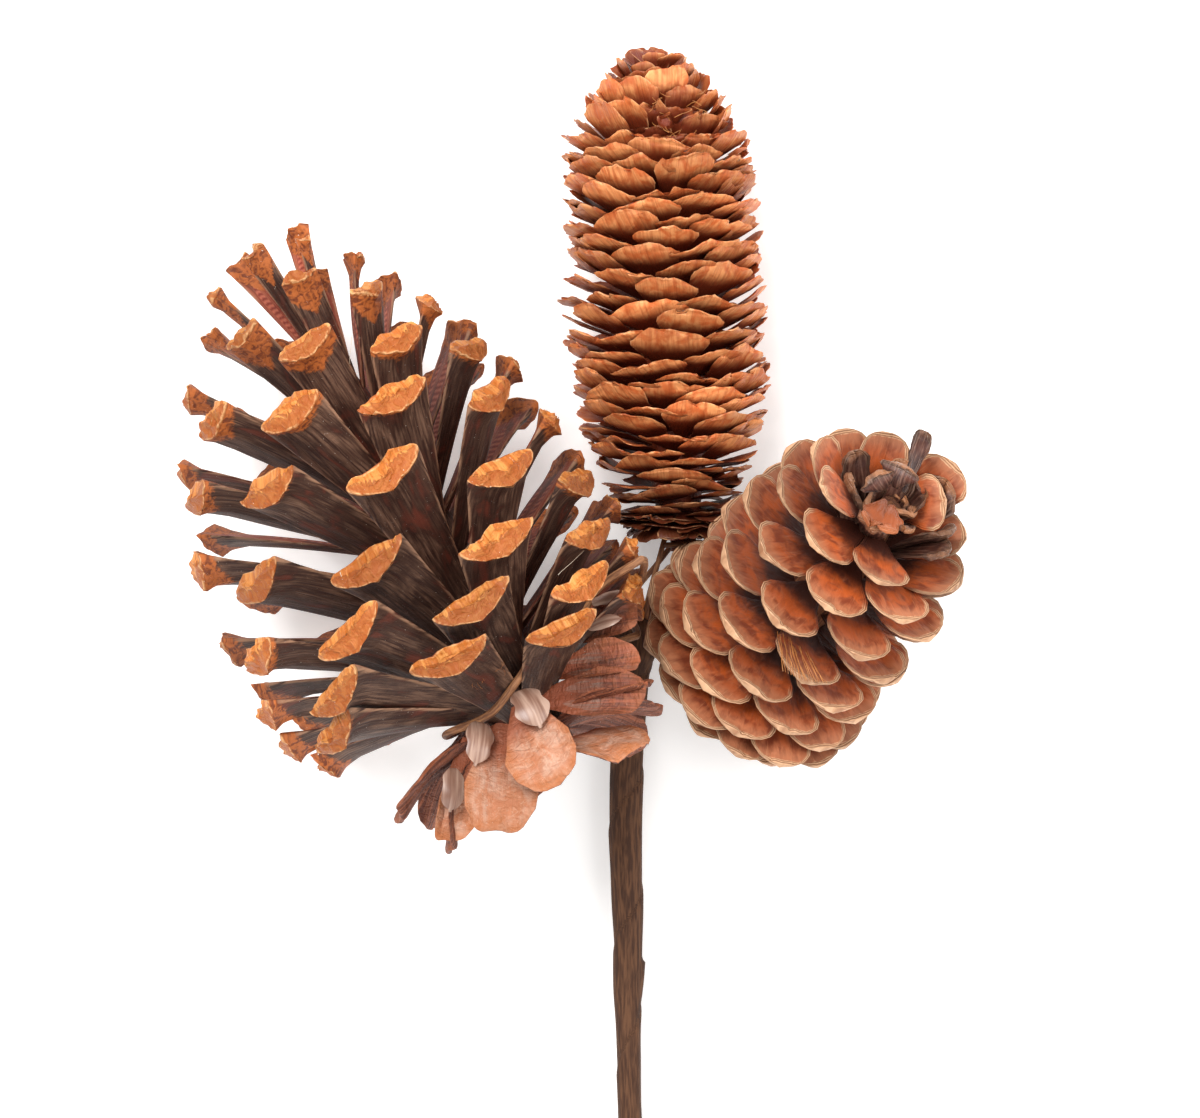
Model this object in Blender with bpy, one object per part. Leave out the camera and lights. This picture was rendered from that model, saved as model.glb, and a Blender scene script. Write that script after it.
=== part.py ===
"""Pine cone pick: three dried cones wired to one paper-taped stem, lying on a flat surface.

Metres, +Z up. The pick lies on z = 0 with its stem towards -Y, and each cone is one grown piece:
a woody core with its scales set round it on a spiral.
"""

import math
import random
from dataclasses import dataclass

import bmesh
import bpy
from mathutils import Vector

MM = 0.001

# Driving sizes
CENTRE = (-8.7 * MM, -27.8 * MM)     # middle of the pick's outline, which becomes the origin
GAP = 0.35 * MM                      # clearance between pieces that touch

STEM_LINE = (                        # middle of the stem from the taped head to the cut end
    (9.0 * MM, -14.0 * MM, 14.6 * MM),
    (7.7 * MM, -38.0 * MM, 12.8 * MM),
    (6.6 * MM, -66.0 * MM, 10.4 * MM),
    (7.2 * MM, -96.0 * MM, 8.4 * MM),
    (7.4 * MM, -126.0 * MM, 6.4 * MM),
    (8.4 * MM, -156.0 * MM, 4.6 * MM),
    (9.8 * MM, -186.0 * MM, 3.4 * MM),
)
STEM_RADII = (4.6 * MM, 4.5 * MM, 4.35 * MM, 3.9 * MM, 3.25 * MM, 3.7 * MM, 3.6 * MM)
STEM_LENGTH = 172.0 * MM
STEM_RINGS = 11
ROD_RADIUS = 2.3 * MM
ROD_TOP = 0.12                       # share of the stem's length above the rod's inner end
ROD_PROUD = 1.0 * MM                 # the rod shows this far past the tape at the cut end
HEAD_RADIUS = 6.2 * MM
HEAD_TIP_RADIUS = 3.0 * MM
HEAD_SHOULDER = 0.014                # shares of the stem's length at which the taped head is full
HEAD_END = 0.075                     # and ends
HEAD_TAPER = 0.035                   # share over which it runs out into the stem

WIRE_DEPTH = 7.0 * MM                # how far each wire end runs into the taped head
WIRE_RISES = (0.8 * MM, 2.8 * MM)    # it runs straight on past these heights above the head
END_CIRCLE = 4.0 * MM                # the wire ends stand on this circle in the head
THICK_WIRE = 1.0 * MM                # radius of the paper-covered wire on the large cone
THIN_WIRE = 0.7 * MM                 # radius of the wire on the two others
WIRE_WAY = (                         # the large cone's wire between its scales: millimetres from
    (40.0, 0.0, 30.0),               # the axis, millimetres along it and degrees round it
    (32.0, 0.5, 30.0),
    (24.5, 0.5, 34.0),
    (18.0, 0.0, 68.0),
    (17.0, 0.0, 118.0),
    (18.5, -2.5, 170.0),
    (21.5, -4.8, 214.0),
    (21.8, -7.6, 252.0),
    (24.2, -3.7, 279.6),
    (19.8, 2.3, 303.4),
    (25.5, 3.5, 329.9),
    (35.9, 7.6, 329.6),
    (52.3, 7.2, 331.3),
)
WIRE_STEPS = 33
STALK_WINDING = 440.0                # degrees that a thin wire winds round a stalk
STALK_STEPS = 14
STALK_END = 1.2                      # millimetres from a stalk's end to the middle of the first turn
STALK_SPARE = 0.2                    # millimetres more than the clearance, for the wire's flat sides
STALK_PITCH = 1.9                    # millimetres from one turn of thin wire to the next

LARGE_WIRE_ENDS = (165.0, 105.0)     # degrees round the taped head at which a wire's two ends go in
SPRUCE_WIRE_ENDS = (225.0, 45.0)
SMALL_WIRE_ENDS = (285.0, 345.0)
SPRUCE_WIRE_NEAR = 155.0             # degrees round a stalk of the side that faces the taped head
SMALL_WIRE_NEAR = 196.0

BEND_HEIGHT = 100.0                  # millimetres up the axis at which its bend is given
ROOT_SUNK = 0.75                     # a scale starts this share of the core's radius from the axis
LEAST_BEND_RADIUS = 4.0              # millimetres; keeps a scale's root from curling round the axis
LEAST_BOW = 0.01                     # radians; a scale that bends less than this is straight
FOOT_DROP = 2.0                      # millimetres from the lowest scale's root down to the core's foot
TOP_RISE = 6.0                       # millimetres from the last scale's root up to the core's top
STALK_SHOULDER = 0.5                 # millimetres over which the stalk widens into the core

ROD_SIDES = 8
TAPE_SIDES = 10
DIRECTION_STEP = 0.01                # share of the stem's length over which its direction is taken
WELD = 0.001 * MM                    # points of a wire closer than this are one
SLAB_HALF = 500.0 * MM               # plate that wears the lowest points flat
SLAB_DEPTH = 100.0 * MM

# Finishes: plain colour and roughness
DARK_WOOD = ((0.16, 0.06, 0.03), 0.6)
PAPERY_SCALE = ((0.45, 0.16, 0.05), 0.55)
RED_WOOD = ((0.42, 0.15, 0.06), 0.6)
PALE_ROD = ((0.42, 0.29, 0.17), 0.7)
BROWN_TAPE = ((0.13, 0.07, 0.04), 0.85)
WIRE_PAPER = ((0.20, 0.11, 0.06), 0.7)


@dataclass
class Cone:
    """One cone: its axis, the spiral that its scales follow, and their sizes."""

    name: str
    base: tuple                      # foot of the axis, at the lowest scale tips' height
    lean_left: float                 # degrees from +Y towards -X
    lean_up: float                   # degrees up from the surface
    count: int                       # scales above the base
    basal: int                       # turned-back scales below them
    step: float                      # degrees from each scale to the next
    first: float                     # degrees of the first scale round the axis
    hand: int                        # +1 or -1, the way the spiral turns
    drift: float                     # degrees by which the spiral bends over the cone's length
    bend: tuple                      # millimetres by which the axis is off line 100 mm above its foot
    skew: tuple                      # uneven growth round the axis: two of height, two of reach
    heights: tuple                   # tips along the axis, from the first scale to the last
    reaches: tuple                   # tips from the axis
    short: tuple                     # scales that are worn short, each with its share of the reach
    openings: tuple                  # degrees from the axis
    widths: tuple                    # full width of a scale
    bow: float                       # degrees by which a scale bends outwards over its length
    basal_start: tuple               # height, reach, opening, width and bow where they turn back
    basal_end: tuple                 # the same for the lowest scale
    core: tuple                      # radii of the core from bottom to top
    stalk: tuple                     # radius and length of the stalk below the core
    wrap: float                      # share of a scale's width that bends round the axis
    jitter: tuple                    # degrees round the axis, and metres along it
    seed: int
    core_sides: int
    corners: int                     # points of a scale's outline across its length
    roll: float                      # radians by which a scale may lie askew
    stations: tuple                  # share of the length, share of the width, keel and crown
    basal_stations: tuple            # the same for the turned-back scales


LARGE = Cone(
    name="large_pine_cone", base=(-22.3 * MM, -32.0 * MM, 55.5 * MM), lean_left=28.8, lean_up=-12.4,
    count=79, basal=14, step=78.458, first=246.5, hand=-1, drift=-11.8,
    bend=(0.0, -14.0), skew=(-2.3, 7.0, -0.14, -0.02),
    heights=(4.1, 18.8, 40.2, 70.8, 95.9, 128.6), reaches=(46.7, 52.4, 52.4, 47.8, 36.0, 10.5),
    short=(),
    openings=(80.0, 68.0, 61.0, 54.0, 42.0, 14.0), widths=(23.0, 24.0, 24.0, 22.0, 18.0, 8.0),
    bow=6.0, basal_start=(-12.0, 41.0, 96.0, 23.0, 18.0), basal_end=(-32.0, 27.0, 132.0, 26.0, 45.0),
    core=(8.0, 9.5, 9.0, 8.0, 6.0, 3.0), stalk=(5.0, 9.0),
    wrap=0.15, jitter=(1.2, 0.5), seed=11, core_sides=8, corners=4, roll=0.10,
    stations=(
        (0.0, 0.26, 1.4, 0.8), (0.82, 0.66, 2.2, 1.0), (0.93, 1.0, 3.8, 2.0), (1.0, 0.80, 3.4, 1.8),
    ),
    basal_stations=(
        (0.0, 0.26, 1.2, 0.8), (0.55, 0.96, 1.1, 0.8), (0.86, 0.88, 1.1, 0.8), (1.0, 0.42, 1.0, 0.8),
    ),
)

SPRUCE = Cone(
    name="spruce_cone", base=(20.2 * MM, 8.9 * MM, 19.6 * MM), lean_left=2.0, lean_up=5.0,
    count=283, basal=0, step=99.332, first=265.7, hand=1, drift=7.2,
    bend=(-2.0, 2.0), skew=(0.2, 1.8, -0.03, -0.09),
    heights=(3.0, 26.1, 48.1, 75.0, 97.0, 121.0), reaches=(14.0, 23.6, 25.4, 24.5, 23.2, 9.5),
    short=(),
    openings=(88.0, 62.0, 55.0, 53.0, 50.0, 30.0), widths=(9.5, 15.0, 16.5, 16.5, 15.0, 9.5),
    bow=0.0, basal_start=(), basal_end=(), core=(5.5, 8.0, 8.0, 7.0, 3.0), stalk=(2.6, 5.6),
    wrap=0.0, jitter=(1.0, 0.15), seed=23, core_sides=6, corners=3, roll=0.02,
    stations=((0.0, 0.05, 0.7, 0.0), (0.82, 1.0, 0.9, 0.0), (1.0, 0.36, 0.8, 0.0)),
    basal_stations=(),
)

SMALL = Cone(
    name="small_pine_cone", base=(36.1 * MM, -28.6 * MM, 12.4 * MM), lean_left=-40.2, lean_up=46.7,
    count=91, basal=0, step=99.493, first=278.9, hand=1, drift=-29.1,
    bend=(0.0, 2.6), skew=(-2.2, -1.4, 0.0, -0.14),
    heights=(5.9, 14.0, 22.6, 40.6, 64.3, 82.0), reaches=(28.1, 33.3, 31.5, 30.2, 29.5, 22.0),
    short=((17, 0.80),),
    openings=(95.0, 88.0, 80.0, 72.0, 60.0, 40.0), widths=(13.0, 15.0, 16.5, 16.5, 14.5, 9.0),
    bow=8.0, basal_start=(), basal_end=(), core=(6.0, 7.5, 8.0, 7.5, 6.0, 3.0), stalk=(3.2, 10.0),
    wrap=0.6, jitter=(1.5, 0.3), seed=37, core_sides=8, corners=3, roll=0.05,
    stations=((0.0, 0.14, 0.7, 0.4), (0.82, 1.0, 1.9, 0.2), (1.0, 0.60, 1.5, 0.4)),
    basal_stations=(),
)


def smooth(values, share):
    """Value at a share from 0 to 1 of the way through a list, on a smooth curve through it."""
    place = min(max(share, 0.0), 1.0) * (len(values) - 1)
    index = min(int(place), len(values) - 2)
    part = place - index
    before = values[index - 1] if index > 0 else 2 * values[0] - values[1]
    start, end = values[index], values[index + 1]
    after = values[index + 2] if index + 2 < len(values) else 2 * values[-1] - values[-2]
    linear = end - before
    square = 2 * before - 5 * start + 4 * end - after
    cube = 3 * start - before - 3 * end + after
    return 0.5 * (2 * start + linear * part + square * part ** 2 + cube * part ** 3)


def smooth_point(points, share):
    """Point at a share of the way along a smooth curve through points."""
    return Vector([smooth([point[axis] for point in points], share) for axis in range(3)])


def axes(cone):
    """The cone's axis and two directions across it."""
    left, up = math.radians(cone.lean_left), math.radians(cone.lean_up)
    along = Vector((-math.sin(left) * math.cos(up), math.cos(left) * math.cos(up), math.sin(up)))
    side = Vector((math.cos(left), math.sin(left), 0.0))
    return along, side, along.cross(side)


def axis_point(cone, level):
    """Point on the cone's axis, which bends a little, at a height in millimetres."""
    along, side, across = axes(cone)
    bent = side * cone.bend[0] + across * cone.bend[1]
    return Vector(cone.base) + (along * level + bent * (level * abs(level) / BEND_HEIGHT ** 2)) * MM


def scale_rule(cone, index):
    """Height, reach, opening, width, bow and turn of a scale, from its place on the spiral."""
    share = index / (cone.count - 1)
    turn = cone.first + cone.hand * (index * cone.step + cone.drift * (max(share, 0.0) - 0.5) ** 2)
    rule = [smooth(values, share) for values in (cone.heights, cone.reaches, cone.openings, cone.widths)]
    rule.append(cone.bow)
    if cone.basal and index < 1:
        low = -index / cone.basal
        rule = [start + (end - start) * low for start, end in zip(cone.basal_start, cone.basal_end)]
    turn = math.radians(turn)
    rule[0] += cone.skew[0] * math.cos(turn) + cone.skew[1] * math.sin(turn)
    rule[1] *= 1 + cone.skew[2] * math.cos(turn) + cone.skew[3] * math.sin(turn)
    rule[1] *= dict(cone.short).get(index, 1.0)
    return *rule, turn


def scale_stations(cone, index):
    """Sections of a scale along its length, which change over the turned-back scales."""
    if index > 0 or not cone.basal:
        return cone.stations
    low = min(1.0, (1 - index) / cone.basal * 2)
    return [
        [value + (end - value) * low for value, end in zip(upper, lower)]
        for upper, lower in zip(cone.stations, cone.basal_stations)
    ]


def run_along(lean, bow, share):
    """Outward and upward share of a bowed scale's length, at a share of it from the root."""
    if abs(bow) < LEAST_BOW:
        return share * math.sin(lean), share * math.cos(lean)
    start = lean - bow / 2
    angle = start + bow * share
    return (math.cos(start) - math.cos(angle)) / bow, (math.sin(angle) - math.sin(start)) / bow


def scale_points(cone, index, chance):
    """Rings of points of one scale, from its root inside the core to its tip."""
    height, reach, opening, width, bow, turn = scale_rule(cone, index)
    turn += math.radians(chance.uniform(-1, 1) * cone.jitter[0])
    height += chance.uniform(-1, 1) * cone.jitter[1]
    roll = chance.uniform(-1, 1) * cone.roll
    along, side, across = axes(cone)
    lean, bow = math.radians(opening), math.radians(bow)
    root_reach = ROOT_SUNK * smooth(cone.core, index / cone.count)
    out_share, up_share = run_along(lean, bow, 1.0)
    length = (reach - root_reach) / out_share
    root_height = height - length * up_share
    rings = []
    for share, half, keel, crown in scale_stations(cone, index):
        out, up = run_along(lean, bow, share)
        facing = lean + bow * (share - 0.5)
        ring = []
        depth = width / max(cone.widths)
        for spread, lift in section(cone.corners, half * width / 2, keel * depth, crown * depth):
            rise = lift + spread * roll
            radius = root_reach + out * length - rise * math.cos(facing)
            level = root_height + up * length + rise * math.sin(facing)
            bend = turn + cone.wrap * spread / max(radius, LEAST_BEND_RADIUS)
            outward = side * math.cos(bend) + across * math.sin(bend)
            tangent = across * math.cos(bend) - side * math.sin(bend)
            offset = outward * radius + tangent * ((1 - cone.wrap) * spread)
            ring.append(axis_point(cone, level) + offset * MM)
        rings.append(ring)
    return rings


def section(corners, half_width, keel, crown):
    """Outline of a scale across its length: two edges, a keel below and a crown above."""
    underside = ((-half_width, 0.0), (0.0, -keel), (half_width, 0.0))
    if corners == 4:
        return *underside, (0.0, crown)
    return underside


def loft(name, rings):
    """Closed mesh object through rings of points, with flat ends."""
    mesh = bpy.data.meshes.new(name)
    build = bmesh.new()
    rows = [[build.verts.new(point) for point in ring] for ring in rings]
    for low, high in zip(rows, rows[1:]):
        sides = len(low)
        for corner in range(sides):
            after = (corner + 1) % sides
            build.faces.new((low[corner], low[after], high[after], high[corner]))
    build.faces.new(list(reversed(rows[0])))
    build.faces.new(rows[-1])
    bmesh.ops.triangulate(build, faces=build.faces[:])
    bmesh.ops.recalc_face_normals(build, faces=build.faces[:])
    build.to_mesh(mesh)
    build.free()
    piece = bpy.data.objects.new(name, mesh)
    bpy.context.scene.collection.objects.link(piece)
    return piece


def round_ring(centre, direction, radius, sides):
    """Ring of points round a centre, square to a direction."""
    across = direction.cross(Vector((0, 0, 1))).normalized()
    other = direction.cross(across).normalized()
    ring = []
    for corner in range(sides):
        angle = math.tau * corner / sides
        ring.append(centre + (across * math.cos(angle) + other * math.sin(angle)) * radius)
    return ring


def apply_modifiers(piece):
    """Put the evaluated mesh in place of the piece's modifiers."""
    depsgraph = bpy.context.evaluated_depsgraph_get()
    mesh = bpy.data.meshes.new_from_object(piece.evaluated_get(depsgraph))
    piece.modifiers.clear()
    piece.data = mesh


def boolean(piece, other, operation, solver="EXACT"):
    """Cut or join a piece with an object or a collection, which is then removed."""
    modifier = piece.modifiers.new(operation.title(), "BOOLEAN")
    modifier.operation = operation
    modifier.solver = solver
    if isinstance(other, bpy.types.Collection):
        modifier.operand_type = "COLLECTION"
        modifier.collection = other
        members = list(other.objects)
    else:
        modifier.object = other
        members = [other]
    apply_modifiers(piece)
    for member in members:
        bpy.data.objects.remove(member, do_unlink=True)
    if isinstance(other, bpy.types.Collection):
        bpy.data.collections.remove(other)


def keep_one_body(piece):
    """Drop loose scraps and sealed hollows, so that one closed body is left."""
    build = bmesh.new()
    build.from_mesh(piece.data)
    unseen = set(build.verts)
    bodies = []
    while unseen:
        stack = [unseen.pop()]
        body = list(stack)
        while stack:
            for edge in stack.pop().link_edges:
                for vertex in edge.verts:
                    if vertex in unseen:
                        unseen.remove(vertex)
                        stack.append(vertex)
                        body.append(vertex)
        bodies.append(body)
    bodies.sort(key=len)
    for scrap in bodies[:-1]:
        bmesh.ops.delete(build, geom=scrap, context="VERTS")
    build.to_mesh(piece.data)
    build.free()


def finish_material(piece, finish):
    """Give the piece its own plain finish."""
    colour, roughness = finish
    material = bpy.data.materials.new(piece.name)
    material.use_nodes = True
    shader = material.node_tree.nodes["Principled BSDF"]
    shader.inputs["Base Color"].default_value = (*colour, 1.0)
    shader.inputs["Roughness"].default_value = roughness
    piece.data.materials.clear()
    piece.data.materials.append(material)


def cone_core(cone):
    """Core and stalk of a cone, as one turned body."""
    along, _, _ = axes(cone)
    low = core_foot(cone)
    high = scale_root(cone, cone.count - 1) + TOP_RISE
    stalk_radius, stalk_length = cone.stalk
    profile = [(low - stalk_length, stalk_radius), (low - STALK_SHOULDER, stalk_radius)]
    steps = len(cone.core) - 1
    for step, radius in enumerate(cone.core):
        profile.append((low + (high - low) * step / steps, radius))
    rings = []
    for height, radius in profile:
        centre = axis_point(cone, height)
        rings.append(round_ring(centre, along, radius * MM, cone.core_sides))
    return loft(cone.name, rings)


def core_foot(cone):
    """Height along the axis, in millimetres, at which the stalk becomes the core."""
    return scale_root(cone, -cone.basal) - FOOT_DROP


def scale_root(cone, index):
    """Height along the axis, in millimetres, at which a scale leaves the core."""
    height, reach, opening, _, bow, _ = scale_rule(cone, index)
    root_reach = ROOT_SUNK * smooth(cone.core, index / cone.count)
    out_share, up_share = run_along(math.radians(opening), math.radians(bow), 1.0)
    return height - (reach - root_reach) / out_share * up_share


def make_cone(cone, finish):
    """One cone: the core with every scale fused to it."""
    body = cone_core(cone)
    chance = random.Random(cone.seed)
    scales = bpy.data.collections.new(cone.name + "_scales")
    bpy.context.scene.collection.children.link(scales)
    for index in range(-cone.basal, cone.count):
        scale = loft(f"{cone.name}_scale", scale_points(cone, index, chance))
        bpy.context.scene.collection.objects.unlink(scale)
        scales.objects.link(scale)
    boolean(body, scales, "UNION", "MANIFOLD")
    keep_one_body(body)
    finish_material(body, finish)
    return body


def stem_rings(radii, first, last, rings, sides):
    """Rings of points round the stem's line, between two shares of its length."""
    rows = []
    for step in range(rings + 1):
        share = first + (last - first) * step / rings
        rows.append(stem_ring(share, smooth(radii, share), sides))
    return rows


def stem_ring(share, radius, sides):
    """One ring of points round the stem's line, at a share of its length."""
    return round_ring(smooth_point(STEM_LINE, share), stem_direction(share), radius, sides)


def stem_direction(share):
    """Direction in which the stem runs, at a share of its length."""
    before, after = share - DIRECTION_STEP, share + DIRECTION_STEP
    return (smooth_point(STEM_LINE, after) - smooth_point(STEM_LINE, before)).normalized()


def make_rod():
    """The rod that runs inside the tape and shows at the cut end."""
    radii = (ROD_RADIUS, ROD_RADIUS)
    rings = stem_rings(radii, ROD_TOP, 1.0, STEM_RINGS, ROD_SIDES)
    rings[-1] = [point + stem_direction(1.0) * ROD_PROUD for point in rings[-1]]
    rod = loft("stem_core", rings)
    finish_material(rod, PALE_ROD)
    return rod


def make_tape(wires):
    """The brown paper tape: a sleeve round the rod, with a thicker head round the wire ends."""
    profile = ((0.0, HEAD_TIP_RADIUS), (HEAD_SHOULDER, HEAD_RADIUS), (HEAD_END, HEAD_RADIUS))
    head = [stem_ring(share, radius, TAPE_SIDES) for share, radius in profile]
    sleeve = stem_rings(STEM_RADII, HEAD_END + HEAD_TAPER, 1.0, STEM_RINGS, TAPE_SIDES)
    tape = loft("stem_tape", head + sleeve)
    rings = stem_rings((ROD_RADIUS + GAP,) * 2, ROD_TOP - GAP / STEM_LENGTH, 1.0, STEM_RINGS, ROD_SIDES)
    rings[-1] = [point + stem_direction(1.0) * ROD_PROUD for point in rings[-1]]
    bore = loft("bore", rings)
    boolean(tape, bore, "DIFFERENCE", "MANIFOLD")
    for path, radius in wires:
        inner, last = (path[0] - path[1]).normalized() * GAP, (path[-1] - path[-2]).normalized() * GAP
        hole = [path[0] + inner, *path[1:-1], path[-1] + last]
        boolean(tape, wire("wire_bore", hole, radius + GAP), "DIFFERENCE", "MANIFOLD")
    keep_one_body(tape)
    finish_material(tape, BROWN_TAPE)
    return tape


def wire(name, path, radius):
    """A round wire along a path, as a mesh with filled ends."""
    curve = bpy.data.curves.new(name, "CURVE")
    curve.dimensions = "3D"
    curve.bevel_depth = radius
    curve.bevel_resolution = 1
    curve.use_fill_caps = True
    spline = curve.splines.new("POLY")
    spline.points.add(len(path) - 1)
    for point, place in zip(spline.points, path):
        point.co = (*place, 1.0)
    guide = bpy.data.objects.new(name, curve)
    bpy.context.scene.collection.objects.link(guide)
    depsgraph = bpy.context.evaluated_depsgraph_get()
    mesh = bpy.data.meshes.new_from_object(guide.evaluated_get(depsgraph))
    bpy.data.objects.remove(guide, do_unlink=True)
    piece = bpy.data.objects.new(name, mesh)
    bpy.context.scene.collection.objects.link(piece)
    build = bmesh.new()
    build.from_mesh(mesh)
    bmesh.ops.remove_doubles(build, verts=build.verts[:], dist=WELD)
    bmesh.ops.triangulate(build, faces=build.faces[:])
    bmesh.ops.recalc_face_normals(build, faces=build.faces[:])
    build.to_mesh(mesh)
    build.free()
    return piece


def head_end(place):
    """Start of a wire: deep in the taped head and straight out above it, at an angle round it."""
    top = Vector(STEM_LINE[0])
    down = stem_direction(0.0)
    angle = math.radians(place)
    offset = Vector((math.cos(angle), 0.0, math.sin(angle))) * END_CIRCLE
    return [top + offset + down * WIRE_DEPTH] + [top + offset - down * rise for rise in WIRE_RISES]


def cone_place(cone, radius, height, turn):
    """Point at a distance from a cone's axis, in millimetres, and a turn round it in degrees."""
    _, side, across = axes(cone)
    angle = math.radians(turn)
    outward = side * math.cos(angle) + across * math.sin(angle)
    return axis_point(cone, height) + outward * radius * MM


def large_wire_path():
    """The wire round the large cone: out of the taped head, between the scales and back."""
    path = head_end(LARGE_WIRE_ENDS[0])
    for step in range(WIRE_STEPS):
        radius, height, turn = smooth_point(WIRE_WAY, step / (WIRE_STEPS - 1))
        path.append(cone_place(LARGE, radius, height, turn))
    return path + list(reversed(head_end(LARGE_WIRE_ENDS[1])))


def stalk_wire_path(cone, near_turn, ends):
    """The thin wire wound round a cone's stalk, from and to the side that faces the taped head."""
    radius = cone.stalk[0] + (THIN_WIRE + GAP) / MM + STALK_SPARE
    lowest = core_foot(cone) - cone.stalk[1] + STALK_END
    first = near_turn - (STALK_WINDING - 360.0) / 2
    path = head_end(ends[0])
    for step in range(STALK_STEPS + 1):
        turned = STALK_WINDING * step / STALK_STEPS
        path.append(cone_place(cone, radius, lowest + STALK_PITCH * turned / 360.0, first + turned))
    return path + list(reversed(head_end(ends[1])))


def make_wires():
    """The three wires, with their paths for the holes that they leave in the taped head."""
    paths = (
        ("wire_large_cone", large_wire_path(), THICK_WIRE),
        ("wire_spruce_cone", stalk_wire_path(SPRUCE, SPRUCE_WIRE_NEAR, SPRUCE_WIRE_ENDS), THIN_WIRE),
        ("wire_small_cone", stalk_wire_path(SMALL, SMALL_WIRE_NEAR, SMALL_WIRE_ENDS), THIN_WIRE),
    )
    for name, path, radius in paths:
        finish_material(wire(name, path, radius), WIRE_PAPER)
    return [(path, radius) for _, path, radius in paths]


def rest_on_surface(pieces):
    """Wear the lowest points flat on z = 0, and put the middle of the outline at the origin."""
    for piece in pieces:
        if min(vertex.co.z for vertex in piece.data.vertices) < 0:
            boolean(piece, slab(), "DIFFERENCE", "MANIFOLD")
            keep_one_body(piece)
        for vertex in piece.data.vertices:
            vertex.co.x -= CENTRE[0]
            vertex.co.y -= CENTRE[1]


def slab():
    """A thick plate with its top at z = 0."""
    signs = ((-1, -1), (1, -1), (1, 1), (-1, 1))
    corners = [(SLAB_HALF * across, SLAB_HALF * up) for across, up in signs]
    return loft("slab", [[Vector((x, y, z)) for x, y in corners] for z in (-SLAB_DEPTH, 0.0)])


def clear_scene():
    """Start from an empty scene."""
    for old in list(bpy.data.objects):
        bpy.data.objects.remove(old, do_unlink=True)


def main():
    """Build every piece of the pick."""
    clear_scene()
    make_cone(LARGE, DARK_WOOD)
    make_cone(SPRUCE, PAPERY_SCALE)
    make_cone(SMALL, RED_WOOD)
    make_rod()
    make_tape(make_wires())
    rest_on_surface(list(bpy.context.scene.objects))


main()
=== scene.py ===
"""Looks of the pine cone pick: three dry cones wired to a taped stem, seen from above.

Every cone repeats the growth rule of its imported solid, scale for scale, with finer meshes.
"""

import functools
import itertools
import logging
import math
import random
from dataclasses import dataclass, field
from enum import Enum
from typing import Callable, Sequence

import bpy
import numpy as np
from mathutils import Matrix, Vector


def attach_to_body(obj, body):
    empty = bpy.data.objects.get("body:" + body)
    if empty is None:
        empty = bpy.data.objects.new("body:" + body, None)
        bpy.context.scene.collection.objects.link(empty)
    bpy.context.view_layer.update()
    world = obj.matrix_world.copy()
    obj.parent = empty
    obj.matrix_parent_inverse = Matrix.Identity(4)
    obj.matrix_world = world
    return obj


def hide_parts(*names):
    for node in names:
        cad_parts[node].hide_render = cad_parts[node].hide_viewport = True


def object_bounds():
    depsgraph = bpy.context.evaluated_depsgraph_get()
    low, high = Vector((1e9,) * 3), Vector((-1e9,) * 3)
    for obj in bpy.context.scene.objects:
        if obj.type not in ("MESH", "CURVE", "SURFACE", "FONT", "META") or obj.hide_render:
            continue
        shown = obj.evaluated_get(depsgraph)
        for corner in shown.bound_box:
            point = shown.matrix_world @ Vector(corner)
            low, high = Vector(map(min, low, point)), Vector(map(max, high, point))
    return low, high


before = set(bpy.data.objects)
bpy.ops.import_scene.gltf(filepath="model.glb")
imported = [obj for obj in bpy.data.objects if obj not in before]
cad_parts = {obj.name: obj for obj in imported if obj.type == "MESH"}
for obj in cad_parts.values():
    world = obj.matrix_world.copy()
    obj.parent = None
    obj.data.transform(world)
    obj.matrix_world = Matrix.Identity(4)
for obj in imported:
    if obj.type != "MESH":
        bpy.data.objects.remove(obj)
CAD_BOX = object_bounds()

log = logging.getLogger("pick")

MM = 0.001
BODY = "root"
CENTRE_MM = np.array([-8.7, -27.8, 0.0])   # middle of the pick's outline, the frame's origin
SURFACE = 0.0                              # height of the surface that the pick lies on
PIXEL_MM = 0.25                            # millimetres to a picture point at the middle height
PICTURE_MIDDLE = (600.0, 559.0)
MIDDLE_HEIGHT = 45.0
VIEW_DISTANCE = 1100.0
WHITE = (1.0, 1.0, 1.0, 1.0)
AXIS_PRIMES = (73856093, 19349663, 83492791)
SEED_PRIME = 7919
HASH_ROUNDS = ((13, 1274126177), (15, 2246822519))
LOW_BITS = 0xFFFFFFFF


def tint(code: str) -> tuple[float, float, float, float]:
    """Linear colour of a web colour code such as "c08040".

    Args:
        code: six hexadecimal digits.

    Returns:
        Red, green, blue and alpha in linear light.
    """
    parts = [int(code[place:place + 2], 16) / 255 for place in (0, 2, 4)]
    linear = [part / 12.92 if part < 0.04045 else ((part + 0.055) / 1.055) ** 2.4 for part in parts]
    return (*linear, 1.0)


def smooth(values: Sequence[float], share: float) -> float:
    """Value of a smooth curve through evenly spaced values, at a share of its length.

    Args:
        values: the curve's values, evenly spaced.
        share: place along it, from 0 to 1.

    Returns:
        The curve's value there.
    """
    last = len(values) - 1
    place = min(max(share, 0.0), 1.0) * last
    index = min(int(place), last - 1)
    part = place - index
    low, high = values[index], values[index + 1]
    before = values[index - 1] if index > 0 else 2 * low - high
    after = values[index + 2] if index + 2 <= last else 2 * high - low
    return 0.5 * (
        2 * low + (high - before) * part
        + (2 * before - 5 * low + 4 * high - after) * part ** 2
        + (3 * low - before - 3 * high + after) * part ** 3
    )


def smooth_point(points: Sequence[Sequence[float]], share: float) -> np.ndarray:
    """Point of a smooth curve through points, at a share of its length."""
    return np.array([smooth(row, share) for row in zip(*points)])


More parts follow.
